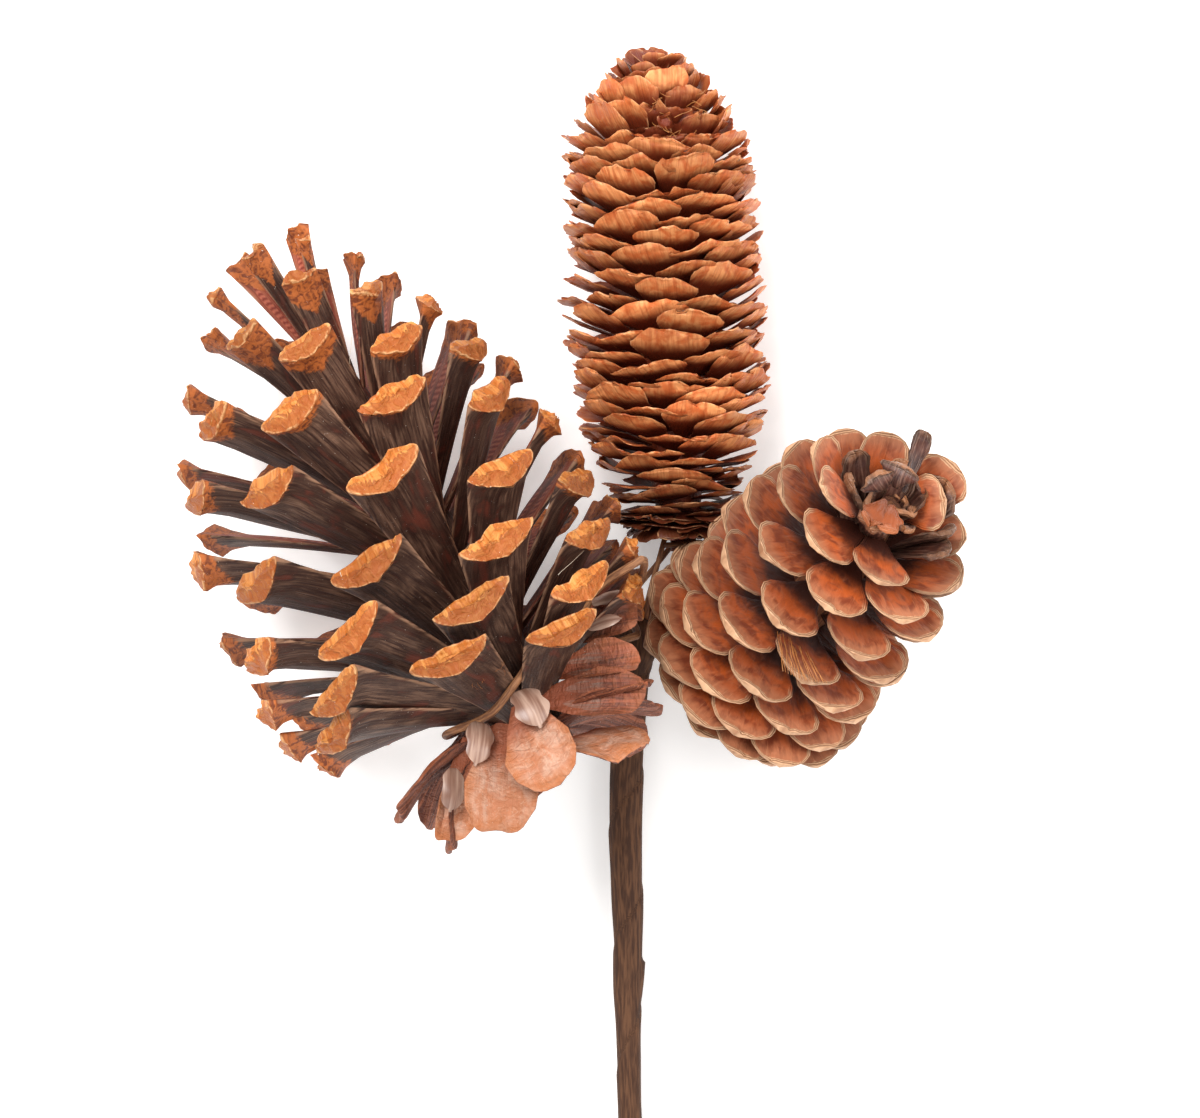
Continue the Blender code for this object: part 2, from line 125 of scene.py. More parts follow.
def seen(across: float, down: float, height: float) -> np.ndarray:
    """Point that shows at a place of the picture.

    Args:
        across: place from the picture's left, in its points.
        down: place from its top.
        height: height above the surface, in millimetres.

    Returns:
        The point in millimetres.
    """
    size = PIXEL_MM * (1 - (height - MIDDLE_HEIGHT) / VIEW_DISTANCE)
    place = np.array([(across - PICTURE_MIDDLE[0]) * size, (PICTURE_MIDDLE[1] - down) * size, height])
    return place - CENTRE_MM


def cloud(points: np.ndarray, seed: int) -> np.ndarray:
    """Smooth random values between -1 and 1, one for each point.

    Args:
        points: any array whose last axis is a point of three numbers.
        seed: picks one of many such clouds.

    Returns:
        An array of the points' shape without its last axis.
    """
    cell = np.floor(points).astype(np.int64)
    part = points - cell
    part = part * part * (3 - 2 * part)
    total = np.zeros(points.shape[:-1])
    for corner in itertools.product((0, 1), repeat=3):
        key = cell + corner
        mark = seed * SEED_PRIME
        for axis, prime in enumerate(AXIS_PRIMES):
            mark = mark ^ (key[..., axis] * prime)
        for shift, factor in HASH_ROUNDS:
            mark = ((mark ^ (mark >> shift)) * factor) & LOW_BITS
        weight = np.prod(np.where(np.array(corner) == 1, part, 1 - part), axis=-1)
        total += weight * ((mark ^ (mark >> 16)) / (LOW_BITS >> 1) - 1)
    return total


class Operation(Enum):
    """What a Math node works out."""

    ADD = "ADD"
    SUBTRACT = "SUBTRACT"
    MULTIPLY = "MULTIPLY"
    DIVIDE = "DIVIDE"
    ABSOLUTE = "ABSOLUTE"
    SINE = "SINE"


class Socket:
    """A shader value, vector or colour, with arithmetic on values that adds Math nodes."""

    def __init__(self, paint: "Paint", link: bpy.types.NodeSocket) -> None:
        """Wrap one output socket of a material."""
        self.paint = paint
        self.link = link

    def math(self, operation: Operation, *others: "Socket | float") -> "Socket":
        """Result of a Math node on this value and others."""
        return self.paint.math(operation, self, *others)

    def __add__(self, other: "Socket | float") -> "Socket":
        """Sum."""
        return self.math(Operation.ADD, other)

    __radd__ = __add__

    def __sub__(self, other: "Socket | float") -> "Socket":
        """Difference."""
        return self.math(Operation.SUBTRACT, other)

    def __rsub__(self, other: float) -> "Socket":
        """Difference from a number."""
        return self.paint.math(Operation.SUBTRACT, other, self)

    def __mul__(self, other: "Socket | float") -> "Socket":
        """Product."""
        return self.math(Operation.MULTIPLY, other)

    __rmul__ = __mul__

    def __truediv__(self, other: "Socket | float") -> "Socket":
        """Quotient."""
        return self.math(Operation.DIVIDE, other)

    def __rtruediv__(self, other: float) -> "Socket":
        """A number over this value."""
        return self.paint.math(Operation.DIVIDE, other, self)

    def __abs__(self) -> "Socket":
        """Size without its sign."""
        return self.math(Operation.ABSOLUTE)

    def wave(self) -> "Socket":
        """Sine, brought between 0 and 1."""
        return self.math(Operation.SINE) * 0.5 + 0.5

    def between(self, low: float, high: float) -> "Socket":
        """Smooth step from one value to another, which may be the lower one.

        Args:
            low: value at which the step is 0.
            high: value at which it is 1.

        Returns:
            The step.
        """
        if low > high:
            return 1.0 - self.between(high, low)
        sockets = {0: self, 1: low, 2: high}
        return self.paint.node("ShaderNodeMapRange", {"interpolation_type": "SMOOTHSTEP"}, sockets)


class Paint:
    """A material's nodes."""

    def __init__(self, name: str) -> None:
        """Start a material with one Principled shader."""
        self.material = bpy.data.materials.new(name)
        self.material.use_nodes = True
        self.tree = self.material.node_tree
        self.shader = next(node for node in self.tree.nodes if node.type == "BSDF_PRINCIPLED")

    def node(self, kind: str, settings: dict, sockets: dict, output: "str | int" = 0) -> Socket:
        """Add a node.

        Args:
            kind: the node's type.
            settings: its own settings, set before its sockets.
            sockets: values or links by socket name or number.
            output: name or number of the output to return.

        Returns:
            That output.
        """
        node = self.tree.nodes.new(kind)
        for name, value in settings.items():
            setattr(node, name, value)
        for name, value in sockets.items():
            if isinstance(value, Socket):
                self.tree.links.new(value.link, node.inputs[name])
            else:
                node.inputs[name].default_value = value
        return Socket(self, node.outputs[output])

    def math(self, operation: Operation, *values: "Socket | float") -> Socket:
        """Result of a Math node."""
        return self.node("ShaderNodeMath", {"operation": operation.value}, dict(enumerate(values)))

    def value(self, name: str) -> Socket:
        """A number that the mesh carries at each point."""
        return self.node("ShaderNodeAttribute", {"attribute_name": name}, {}, "Fac")

    def place(self, name: str = "blade") -> Socket:
        """A vector that the mesh carries at each point."""
        return self.node("ShaderNodeAttribute", {"attribute_name": name}, {}, "Vector")

    def stretch(self, vector: Socket, factors: tuple[float, float, float]) -> Socket:
        """A vector with each of its numbers multiplied."""
        return self.node("ShaderNodeVectorMath", {"operation": "MULTIPLY"}, {0: vector, 1: factors})

    def noise(self, vector: Socket, factors: tuple[float, float, float], detail: float = 3.0,
              wander: float = 0.0) -> Socket:
        """Noise with values round 0.5.

        Args:
            vector: where it is taken.
            factors: how fast it runs along each axis.
            detail: how fine it is.
            wander: how far it is drawn out of shape.

        Returns:
            The noise.
        """
        space = self.stretch(vector, factors)
        sockets = {"Vector": space, "Scale": 1.0, "Detail": detail, "Distortion": wander}
        return self.node("ShaderNodeTexNoise", {}, sockets, "Fac")

    def mix(self, share: "Socket | float", low: "Socket | str", high: "Socket | str") -> Socket:
        """Colour between two colours.

        Args:
            share: how much of the second shows.
            low: the first colour.
            high: the second colour.

        Returns:
            The mixed colour.
        """
        ends = [tint(end) if isinstance(end, str) else end for end in (low, high)]
        sockets = {0: share, 6: ends[0], 7: ends[1]}
        return self.node("ShaderNodeMix", {"data_type": "RGBA", "clamp_factor": True}, sockets, 2)

    def shade(self, colour: Socket, share: Socket) -> Socket:
        """A colour multiplied by a value."""
        sockets = {0: colour, "Scale": share}
        return self.node("ShaderNodeVectorMath", {"operation": "SCALE"}, sockets, 0)

    def finish(self, colour: Socket, rough: "Socket | float", relief: Socket, depth: float,
               specular: float = 0.4) -> bpy.types.Material:
        """Join colour, roughness and relief to the shader.

        Args:
            colour: base colour.
            rough: roughness.
            relief: height of the surface's fine relief, from 0 to 1.
            depth: size of that relief in metres.
            specular: level of the plain reflection.

        Returns:
            The material.
        """
        bump = self.node("ShaderNodeBump", {}, {"Strength": 0.8, "Distance": depth, "Height": relief}, "Normal")
        self.tree.links.new(colour.link, self.shader.inputs["Base Color"])
        self.tree.links.new(bump.link, self.shader.inputs["Normal"])
        if isinstance(rough, Socket):
            self.tree.links.new(rough.link, self.shader.inputs["Roughness"])
        else:
            self.shader.inputs["Roughness"].default_value = rough
        self.shader.inputs["Specular IOR Level"].default_value = specular
        return self.material


@dataclass(frozen=True)
class OpenConeFinish:
    """Dark woody blades with bright worn ends, of the large open cone."""

    name: str = "large_cone_scales"
    dark: str = "311a12"
    grey: str = "84634f"
    russet: str = "6a3122"
    red: str = "863a27"
    red_light: str = "b0664a"
    end_low: str = "ba6520"
    end_high: str = "d98f48"
    crack: str = "7a3a14"
    rim: str = "e6b27c"
    peach: str = "d28a60"
    peach_pale: str = "e6b598"
    peach_rim: str = "b8682f"
    membrane: str = "b39a8b"

    def seed_marks(self, across: Socket, along: Socket) -> Socket:
        """Two long ovals side by side where the seeds lay."""
        side = (across - 0.42) / 0.26
        length = (along - 0.52) / 0.24
        return (side * side + length * length).between(1.10, 0.85)

    def woody(self, paint: Paint) -> Socket:
        """Paint a blade and its worn end, with painted shade on the end face below its ridge and a pale rim that is
        partly a painted highlight.
        """
        place, across, along = paint.place(), abs(paint.value("across")), paint.value("along")
        upper, tip, edge, wear = (paint.value(name) for name in ("upper", "tip", "edge", "wear"))
        grain = paint.noise(place, (2.0, 0.12, 1.0), 4.0, 0.4)
        patches = paint.noise(place, (0.20, 0.07, 1.0), 4.0, 0.8)
        mottle = paint.noise(place, (0.55, 0.7, 1.0), 4.0, 1.2)
        greyed = grain.between(0.28, 0.80) * (0.20 + patches.between(0.42, 0.66) * 0.80)
        under = paint.mix(greyed, self.dark, self.grey)
        under = paint.mix(patches.between(0.46, 0.30) * 0.7, under, self.russet)
        inner = paint.mix(grain.between(0.36, 0.66) * 0.7, self.red, self.red_light)
        inner = paint.mix(patches.between(0.56, 0.40) * 0.6, inner, self.dark)
        ribs = (along * 150.0 + grain * 3.0).wave()
        marks = self.seed_marks(across, along)
        inner = paint.mix(marks * 0.8, inner, paint.mix(ribs, "7c2c20", "bf6a50"))
        blade = paint.mix(upper, under, inner)
        line = edge.between(0.75, 0.15) * grain.between(0.36, 0.56)
        blade = paint.mix(line * 0.75, blade, "a57c60")
        reach = along + wear * 0.12 - across * (0.03 + wear * 0.05) + grain * 0.05 + mottle * 0.07
        end = paint.mix(mottle.between(0.35, 0.68), self.end_low, self.end_high)
        end = paint.mix(abs(mottle - 0.44).between(0.016, 0.0) * 0.4, end, self.crack)
        # painted shade: the lower half of each end face, below its ridge, is painted darker, with a dark painted
        # crease along the ridge
        fold = upper + mottle * 0.5 - 0.25
        end = paint.mix(fold.between(0.50, 0.40) * 0.70, end, "96491a")
        end = paint.mix(abs(fold - 0.48).between(0.06, 0.0) * 0.55, end, "6e3112")
        under_end = paint.mix(mottle.between(0.34, 0.60), "6b3218", "b0602c")
        woody = paint.mix(reach.between(0.985, 1.020), blade, under_end)
        woody = paint.mix(tip.between(0.1, 0.6), woody, end)
        # pale worn rim round the end face, partly a painted highlight along its edge
        rim = edge.between(0.80, 0.20) * tip.between(0.1, 0.5) * mottle.between(0.36, 0.60)
        return paint.mix(rim * 0.7, woody, self.rim)

    def broad(self, paint: Paint) -> Socket:
        """Paint one of the broad scales at the stalk, with painted shade in the hollows of its wrinkles."""
        place, across, along = paint.place(), abs(paint.value("across")), paint.value("along")
        upper, edge, wear = paint.value("upper"), paint.value("edge"), paint.value("wear")
        grain = paint.noise(place, (2.0, 0.12, 1.0), 4.0, 0.4)
        spots = paint.noise(place, (0.20, 0.16, 1.0), 5.0, 1.2)
        broad = paint.mix(spots.between(0.36, 0.64), self.peach, self.peach_pale)
        ruddy = paint.mix(grain.between(0.34, 0.66), "52231a", "964c36")
        broad = paint.mix(wear.between(0.0, 0.5) * 0.9, broad, ruddy)
        wrinkle = paint.noise(place, (0.30, 0.55, 1.0), 5.0, 1.6)
        # painted shade in the hollows of the wrinkles, which the bump relief takes from the same noise
        broad = paint.mix(wrinkle.between(0.52, 0.38) * 0.40, broad, "b06a48")
        line = abs(wrinkle - 0.55).between(0.02, 0.0) * wear.between(0.5, 0.0)
        broad = paint.mix(line * 0.35, broad, "f0cdb4")
        rim = edge.between(3.0, 0.4) * (0.60 - wear.between(0.0, 0.5) * 0.40)
        broad = paint.mix(rim, broad, self.peach_rim)
        broad = paint.mix(along.between(0.55, 0.25) * 0.85, broad, "9a5034")
        marks = self.seed_marks(across, along) * along.between(0.66, 0.60) * wear.between(0.0, 0.5)
        broad = paint.mix(marks * 0.35, broad, paint.mix(grain.between(0.4, 0.6), self.membrane, "8d6553"))
        under = paint.mix(grain.between(0.38, 0.64), "53291c", "94553a")
        return paint.mix(upper, under, broad)

    def material(self) -> bpy.types.Material:
        """Paint blades, ends and the broad lowest scales, with pale resin specks whose near-white colour is partly a
        painted glint.
        """
        paint = Paint(self.name)
        place, low, tone, tip = paint.place(), paint.value("low"), paint.value("tone"), paint.value("tip")
        colour = paint.mix(low, self.woody(paint), self.broad(paint))
        speck = paint.noise(place, (2.4, 2.4, 1.0), 2.0)
        resin_speck_glint = speck.between(0.735, 0.775)
        # pale resin specks, painted near-white as painted glints; they are also less rough
        colour = paint.mix(resin_speck_glint * 0.8, colour, "eadccb")
        colour = paint.shade(colour, 0.80 + tone * 0.36)
        grain = paint.noise(place, (2.0, 0.12, 1.0), 4.0, 0.4)
        lumps = paint.noise(place, (0.55, 0.7, 1.0), 4.0, 1.2)
        rough = 0.60 - resin_speck_glint * 0.3 - tip * 0.08
        folds = paint.noise(place, (0.30, 0.55, 1.0), 5.0, 1.6)
        relief = grain * 0.4 + lumps * (0.3 + tip * 1.1) + folds * low * 1.4
        return paint.finish(colour, rough, relief, 0.0008, 0.35)


@dataclass(frozen=True)
class PaperyConeFinish:
    """Thin ribbed scales of the spruce cone."""

    name: str = "spruce_scales"
    painted_root_shade: str = "6c2a13"
    middle: str = "bf6231"
    light: str = "dc925a"
    rim: str = "e3aa78"

    def material(self) -> bpy.types.Material:
        """Paint ribbed scales, with painted shade that darkens them towards their roots."""
        paint = Paint(self.name)
        place, along = paint.place(), paint.value("along")
        upper, edge, tone, height = (paint.value(name) for name in ("upper", "edge", "tone", "height"))
        ribs = paint.noise(place, (1.7, 0.07, 1.0), 3.0, 0.25)
        patches = paint.noise(place, (0.30, 0.22, 1.0), 3.0, 0.8)
        colour = paint.mix(patches.between(0.32, 0.66), self.middle, self.light)
        colour = paint.mix(ribs.between(0.55, 0.36) * 0.38, colour, "933f1a")
        # painted shade: each scale darkens towards its root, where the scale above shades it
        colour = paint.mix((along + patches * 0.08).between(0.94, 0.68), colour, self.painted_root_shade)
        colour = paint.mix(upper * 0.65, colour, "742c12")
        colour = paint.mix(height.between(0.16, 0.0) * 0.8, colour, "42180c")
        # pale worn edges in patches, partly a painted highlight where the thin edges catch the light
        colour = paint.mix(edge.between(0.45, 0.05) * patches.between(0.46, 0.62) * 0.55, colour, self.rim)
        colour = paint.shade(colour, 0.90 + tone * 0.48)
        relief = ribs * 0.8 + patches * 0.5
        return paint.finish(colour, 0.52 - patches * 0.12, relief, 0.0005, 0.4)


@dataclass(frozen=True)
class RimmedConeFinish:
    """Rounded scales with pale layered rims, of the small pine cone."""

    name: str = "small_cone_scales"
    rose: str = "b1603c"
    brown: str = "803a22"
    orange: str = "c75a20"
    pale: str = "e2b48c"
    line: str = "8f5735"
    resin: str = "3a2521"
    resin_pale: str = "7a5b4d"

    def material(self) -> bpy.types.Material:
        """Paint inner faces, pale rims and the dark resinous scales at the apex, with painted shade at the roots
        and, in part, on the under faces.
        """
        paint = Paint(self.name)
        place, along, across = paint.place(), paint.value("along"), abs(paint.value("across"))
        upper, edge, tone, height = (paint.value(name) for name in ("upper", "edge", "tone", "height"))
        patches = paint.noise(place, (0.17, 0.16, 1.0), 4.0, 1.1)
        mottle = paint.noise(place, (0.50, 0.22, 1.0), 4.0, 0.8)
        grain = paint.noise(place, (1.8, 0.16, 1.0), 3.0, 0.3)
        colour = paint.mix((mottle * 0.6 + patches * 0.4).between(0.38, 0.60), self.brown, self.rose)
        colour = paint.mix(grain.between(0.56, 0.74) * 0.35, colour, "cf8a60")
        colour = paint.mix((along + mottle * 0.12).between(0.86, 1.0) * 0.50, colour, "b77b57")
        glow = along.between(0.92, 0.66) * (0.15 + patches.between(0.40, 0.60) * 0.85)
        colour = paint.mix(glow * (1.0 - across * 0.35), colour, self.orange)
        # painted shade: each scale darkens to near black towards its root, where the scales above shade it
        colour = paint.mix((along + mottle * 0.15).between(0.80, 0.50) * 0.94, colour, "35140c")
        # under faces: their own browner colour, made darker as painted shade between the scales
        under = paint.mix(grain.between(0.36, 0.66), "5d3325", "94603f")
        colour = paint.mix(upper, under, colour)
        layers = paint.noise(place, (0.25, 0.25, 1.0), 2.0) * 0.6 + edge
        layered = (layers * 11.0).wave()
        rim = paint.mix(layered * 0.75 + grain * 0.25, self.pale, self.line)
        ending = along.between(0.70, 0.84)
        colour = paint.mix((edge - mottle * 1.2 - patches * 0.3).between(0.70, 0.25) * ending, colour, rim)
        apex = height.between(1.01, 1.03)
        knobs = paint.mix(grain.between(0.42, 0.70), self.resin, self.resin_pale)
        knobs = paint.mix((along + patches * 0.3).between(1.04, 1.16) * (0.35 + tone * 0.65), knobs, "b5764c")
        knobs = paint.mix(height.between(1.054, 1.058) * 0.8, knobs, "a2532c")
        colour = paint.mix(apex * 0.9, colour, knobs)
        colour = paint.shade(colour, 0.80 + tone * 0.36)
        relief = grain * 0.4 + mottle * 0.7 + layered * edge.between(1.2, 0.6) * 0.5
        return paint.finish(colour, 0.58 - apex * 0.2, relief, 0.00055, 0.38)


@dataclass(frozen=True)
class FibreFinish:
    """One colour of dry fibre with light and dark stretches along it."""

    name: str
    dark: str
    light: str
    rough: float = 0.6
    across: float = 1.6
    along: float = 0.12
    depth: float = 0.0003
    specular: float = 0.35

    def material(self) -> bpy.types.Material:
        """Paint lengthwise fibre."""
        paint = Paint(self.name)
        place = paint.place()
        grain = paint.noise(place, (self.across, self.along, self.across), 4.0, 0.3)
        patches = paint.noise(place, (0.2, 0.08, 0.2), 3.0, 0.6)
        colour = paint.mix(grain.between(0.36, 0.66) * 0.7 + patches * 0.3, self.dark, self.light)
        return paint.finish(colour, self.rough, grain + patches * 0.4, self.depth, self.specular)


@dataclass(frozen=True)
class FloorFinish:
    """Pale matt floor."""

    name: str = "pale_floor"
    colour: str = "f4f3f1"
    glow: float = 0.30

    def material(self) -> bpy.types.Material:
        """Paint the floor almost white."""
        paint = Paint(self.name)
        place = paint.node("ShaderNodeNewGeometry", {}, {}, "Position")
        cloudy = paint.noise(place, (40.0, 40.0, 40.0), 2.0)
        colour = paint.mix(cloudy * 0.2, self.colour, "efeeec")
        paint.shader.inputs["Emission Color"].default_value = WHITE
        paint.shader.inputs["Emission Strength"].default_value = self.glow
        return paint.finish(colour, 0.9, cloudy, 0.0, 0.2)


@dataclass
class Scale:
    """One scale: where the growth rule puts it, in millimetres and radians."""

    index: int
    share: float
    low: float
    height: float
    reach: float
    lean: float
    width: float
    bow: float
    turn: float
    roll: float
    root_reach: float

    def run(self, share: np.ndarray) -> tuple[np.ndarray, np.ndarray]:
        """Outward and upward share of the scale's length at shares of it from the root."""
        if abs(self.bow) < 0.01:
            return share * math.sin(self.lean), share * math.cos(self.lean)
        start = self.lean - self.bow / 2
        angle = start + self.bow * share
        return (
            (math.cos(start) - np.cos(angle)) / self.bow,
            (np.sin(angle) - math.sin(start)) / self.bow,
        )

    @property
    def length(self) -> float:
        """Length from the root inside the core to the tip."""
        return float((self.reach - self.root_reach) / self.run(np.array(1.0))[0])

    @property
    def root_height(self) -> float:
        """Height of the root along the cone's axis."""
        return float(self.height - self.length * self.run(np.array(1.0))[1])


@dataclass(frozen=True)
class Growth:
    """The rule by which a cone grew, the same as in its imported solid; sizes in millimetres."""

    base: tuple[float, float, float]
    lean_left: float
    lean_up: float
    count: int
    step: float
    first: float
    hand: int
    drift: float
    bend: tuple[float, float]
    skew: tuple[float, float, float, float]
    heights: tuple[float, ...]
    reaches: tuple[float, ...]
    openings: tuple[float, ...]
    widths: tuple[float, ...]
    bow: float
    core: tuple[float, ...]
    stalk: tuple[float, float]
    wrap: float
    jitter: tuple[float, float]
    seed: int
    roll: float
    basal: int = 0
    basal_start: tuple[float, ...] = ()
    basal_end: tuple[float, ...] = ()
    short: dict[int, float] = field(default_factory=dict)
    more_open: float = 0.0
    front_open: float = 0.0
    side_roll: float = 0.0
    laid: tuple[int, ...] = ()

    def axes(self) -> tuple[np.ndarray, np.ndarray, np.ndarray]:
        """Directions along the axis, to its right, and away from the viewer."""
        left, up = math.radians(self.lean_left), math.radians(self.lean_up)
        level = math.cos(up)
        along = np.array([-math.sin(left) * level, math.cos(left) * level, math.sin(up)])
        side = np.array([math.cos(left), math.sin(left), 0.0])
        return along, side, np.cross(along, side)

    def axis_points(self, level: np.ndarray) -> np.ndarray:
        """Points of the bent axis at heights along it."""
        along, side, across = self.axes()
        off = (side * self.bend[0] + across * self.bend[1]) / 100.0 ** 2
        level = np.asarray(level, dtype=float)[..., None]
        return np.array(self.base) - CENTRE_MM + along * level + off * level * np.abs(level)

    def scale(self, index: int, chance: "random.Random | None") -> Scale:
        """The scale at a place of the spiral.

        Args:
            index: its place, below 0 for the turned-back scales at the stalk.
            chance: source of its small unevenness, or None for the bare rule.

        Returns:
            The scale.
        """
        share = index / (self.count - 1)
        turn = self.first + self.hand * (index * self.step + self.drift * (max(share, 0.0) - 0.5) ** 2)
        rows = (self.heights, self.reaches, self.openings, self.widths)
        rule = [*(smooth(row, share) for row in rows), self.bow]
        if self.basal and index < 1:
            part = -index / self.basal
            rule = [start + (end - start) * part for start, end in zip(self.basal_start, self.basal_end)]
        turn = math.radians(turn)
        rule[0] += self.skew[0] * math.cos(turn) + self.skew[1] * math.sin(turn)
        rule[1] *= 1 + self.skew[2] * math.cos(turn) + self.skew[3] * math.sin(turn)
        rule[1] *= self.short.get(index, 1.0)
        roll = 0.0
        if chance is not None:
            turn += math.radians(chance.uniform(-1, 1) * self.jitter[0])
            rule[0] += chance.uniform(-1, 1) * self.jitter[1]
            roll = chance.uniform(-1, 1) * self.roll
        low = 1.0 if self.basal and index < 1 else 0.0
        root_reach = 0.75 * smooth(self.core, index / self.count)
        height, reach, opening, width, bow = rule
        opening += self.more_open * min(1.0, 6 * share, max(0.0, 7 - 7.5 * share))
        opening += self.front_open * max(0.0, -math.sin(turn)) * min(1.0, max(0.0, (share - 0.68) * 5))
        roll += self.side_roll * max(0.0, math.cos(turn)) * min(1.0, max(0.0, share * 6))
        return Scale(index, share, low, height, reach, math.radians(opening), width, math.radians(bow),
                     turn, roll, root_reach)

    def place(self, scale: Scale, along: np.ndarray, spread: np.ndarray, lift: np.ndarray) -> np.ndarray:
        """Points of a scale in metres.

        Args:
            scale: the scale.
            along: share of its length from the root.
            spread: millimetres to the side of its middle line.
            lift: millimetres above its middle surface.

        Returns:
            Points with a last axis of three numbers.
        """
        out, up = scale.run(along)
        facing = scale.lean + scale.bow * (along - 0.5)
        rise = lift + spread * scale.roll
        radius = scale.root_reach + out * scale.length - rise * np.cos(facing)
        level = scale.root_height + up * scale.length + rise * np.sin(facing)
        bend = scale.turn + self.wrap * spread / np.maximum(radius, 4.0)
        _, side, across = self.axes()
        outward = side * np.cos(bend)[..., None] + across * np.sin(bend)[..., None]
        tangent = across * np.cos(bend)[..., None] - side * np.sin(bend)[..., None]
        offset = outward * radius[..., None] + tangent * ((1 - self.wrap) * spread)[..., None]
        return (self.axis_points(level) + offset) * MM

    def foot(self) -> float:
        """Height along the axis at which the stalk becomes the core."""
        return self.scale(-self.basal, None).root_height - 2.0


LARGE_GROWTH = Growth(
    base=(-22.3, -32.0, 55.5), lean_left=28.8, lean_up=-12.4,
    count=79, basal=14, step=78.458, first=246.5, hand=-1, drift=-11.8,
    bend=(0.0, -14.0), skew=(-2.3, 7.0, -0.14, -0.02),
    heights=(4.1, 18.8, 40.2, 70.8, 95.9, 128.6), reaches=(46.7, 52.4, 52.4, 47.8, 36.0, 10.5),
    openings=(80.0, 68.0, 61.0, 54.0, 42.0, 14.0), widths=(23.0, 24.0, 24.0, 22.0, 18.0, 8.0),
    bow=6.0, basal_start=(-12.0, 41.0, 96.0, 23.0, 18.0), basal_end=(-32.0, 27.0, 132.0, 26.0, 45.0),
    core=(8.0, 9.5, 9.0, 8.0, 6.0, 3.0), stalk=(4.2, 2.5), wrap=0.15, jitter=(1.2, 0.5), seed=11, roll=0.10,
    side_roll=0.30, laid=(-14, -9, -5, 0),
)
SPRUCE_GROWTH = Growth(
    base=(20.2, 8.9, 19.6), lean_left=2.0, lean_up=5.0,
    count=283, step=99.332, first=265.7, hand=1, drift=7.2,
    bend=(-2.0, 2.0), skew=(0.2, 1.8, -0.03, -0.09),
    heights=(3.0, 26.1, 48.1, 75.0, 97.0, 121.0), reaches=(14.0, 23.6, 25.4, 24.5, 23.2, 9.5),
    openings=(88.0, 62.0, 55.0, 53.0, 50.0, 30.0), widths=(9.5, 15.0, 16.5, 16.5, 15.0, 9.5),
    bow=0.0, core=(5.5, 8.0, 8.0, 7.0, 3.0), stalk=(2.6, 5.6), wrap=0.0, jitter=(1.0, 0.15), seed=23, roll=0.02,
    more_open=12.0,
)
SMALL_GROWTH = Growth(
    base=(36.1, -28.6, 12.4), lean_left=-40.2, lean_up=46.7,
    count=91, step=99.493, first=278.9, hand=1, drift=-29.1,
    bend=(0.0, 2.6), skew=(-2.2, -1.4, 0.0, -0.14),
    heights=(5.9, 14.0, 22.6, 40.6, 64.3, 82.0), reaches=(28.1, 33.3, 31.5, 30.2, 29.5, 22.0),
    openings=(95.0, 88.0, 80.0, 72.0, 60.0, 40.0), widths=(13.0, 15.0, 16.5, 16.5, 14.5, 9.0),
    bow=8.0, core=(6.0, 7.5, 8.0, 7.5, 6.0, 3.0), stalk=(3.2, 10.0), wrap=0.6, jitter=(1.5, 0.3), seed=37,
    roll=0.05, short={17: 0.80}, front_open=27.0,
)


@dataclass(frozen=True)
class Leaf:
    """A scale, or a piece of one, that lies by its own: root and tip are picture places with a height."""

    root: tuple[float, float, float]
    tip: tuple[float, float, float]
    width: float
    tilt: float = 0.0
    curl: float = 0.0
    hollow: float = 0.0
    low: float = 0.0
    share: float = 0.5
    index: int = 0
    turn: float = 0.0

    @property
    def length(self) -> float:
        """Straight length from root to tip in millimetres."""
        return float(np.linalg.norm(seen(*self.tip) - seen(*self.root)))

    def place(self, along: np.ndarray, spread: np.ndarray, lift: np.ndarray) -> np.ndarray:
        """Points of the leaf in metres.

        Args:
            along: share of its length from the root.
            spread: millimetres to the side of its middle line.
            lift: millimetres above its middle surface.

        Returns:
            Points with a last axis of three numbers.
        """
        root, tip = seen(*self.root), seen(*self.tip)
        way = (tip - root) / self.length
        face = np.array([0.0, 0.0, 1.0]) - way * way[2]
        face /= np.linalg.norm(face)
        side = np.cross(way, face)
        angle = math.radians(self.tilt)
        cosine, sine = math.cos(angle), math.sin(angle)
        face, side = face * cosine + side * sine, side * cosine - face * sine
        half = np.maximum(np.abs(spread).max(), 0.1)
        rise = lift + self.curl * 4 * along * (1 - along) + self.hollow * (spread / half) ** 2
        middle = root + way * (along * self.length)[..., None]
        return (middle + side * spread[..., None] + face * rise[..., None]) * MM


AnyScale = Scale | Leaf


@dataclass(frozen=True)
class Station:
    """One section of a scale: place, half width share, depths in millimetres, end face, rows up to it."""

    along: float
    half: float
    keel: float
    crown: float
    tip: float
    rows: int = 1


def sample(stations: Sequence[Station]) -> np.ndarray:
    """Rows of a scale between its stations.

    Args:
        stations: the sections.

    Returns:
        One row for each line of points: along, half, keel, crown, tip.
    """
    table = [[s.along, s.half, s.keel, s.crown, s.tip] for s in stations]
    rows = [np.array(table[0])]
    for before, after, station in zip(table, table[1:], stations[1:]):
        for step in range(1, station.rows + 1):
            part = step / station.rows
            rows.append(np.array(before) + (np.array(after) - np.array(before)) * part)
    return np.array(rows)


@dataclass
class Surface:
    """A scale's points before they are placed, each array with a row for each line of points."""

    along: np.ndarray
    spread: np.ndarray
    lift: np.ndarray
    tip: np.ndarray
    edge: np.ndarray
    upper: np.ndarray


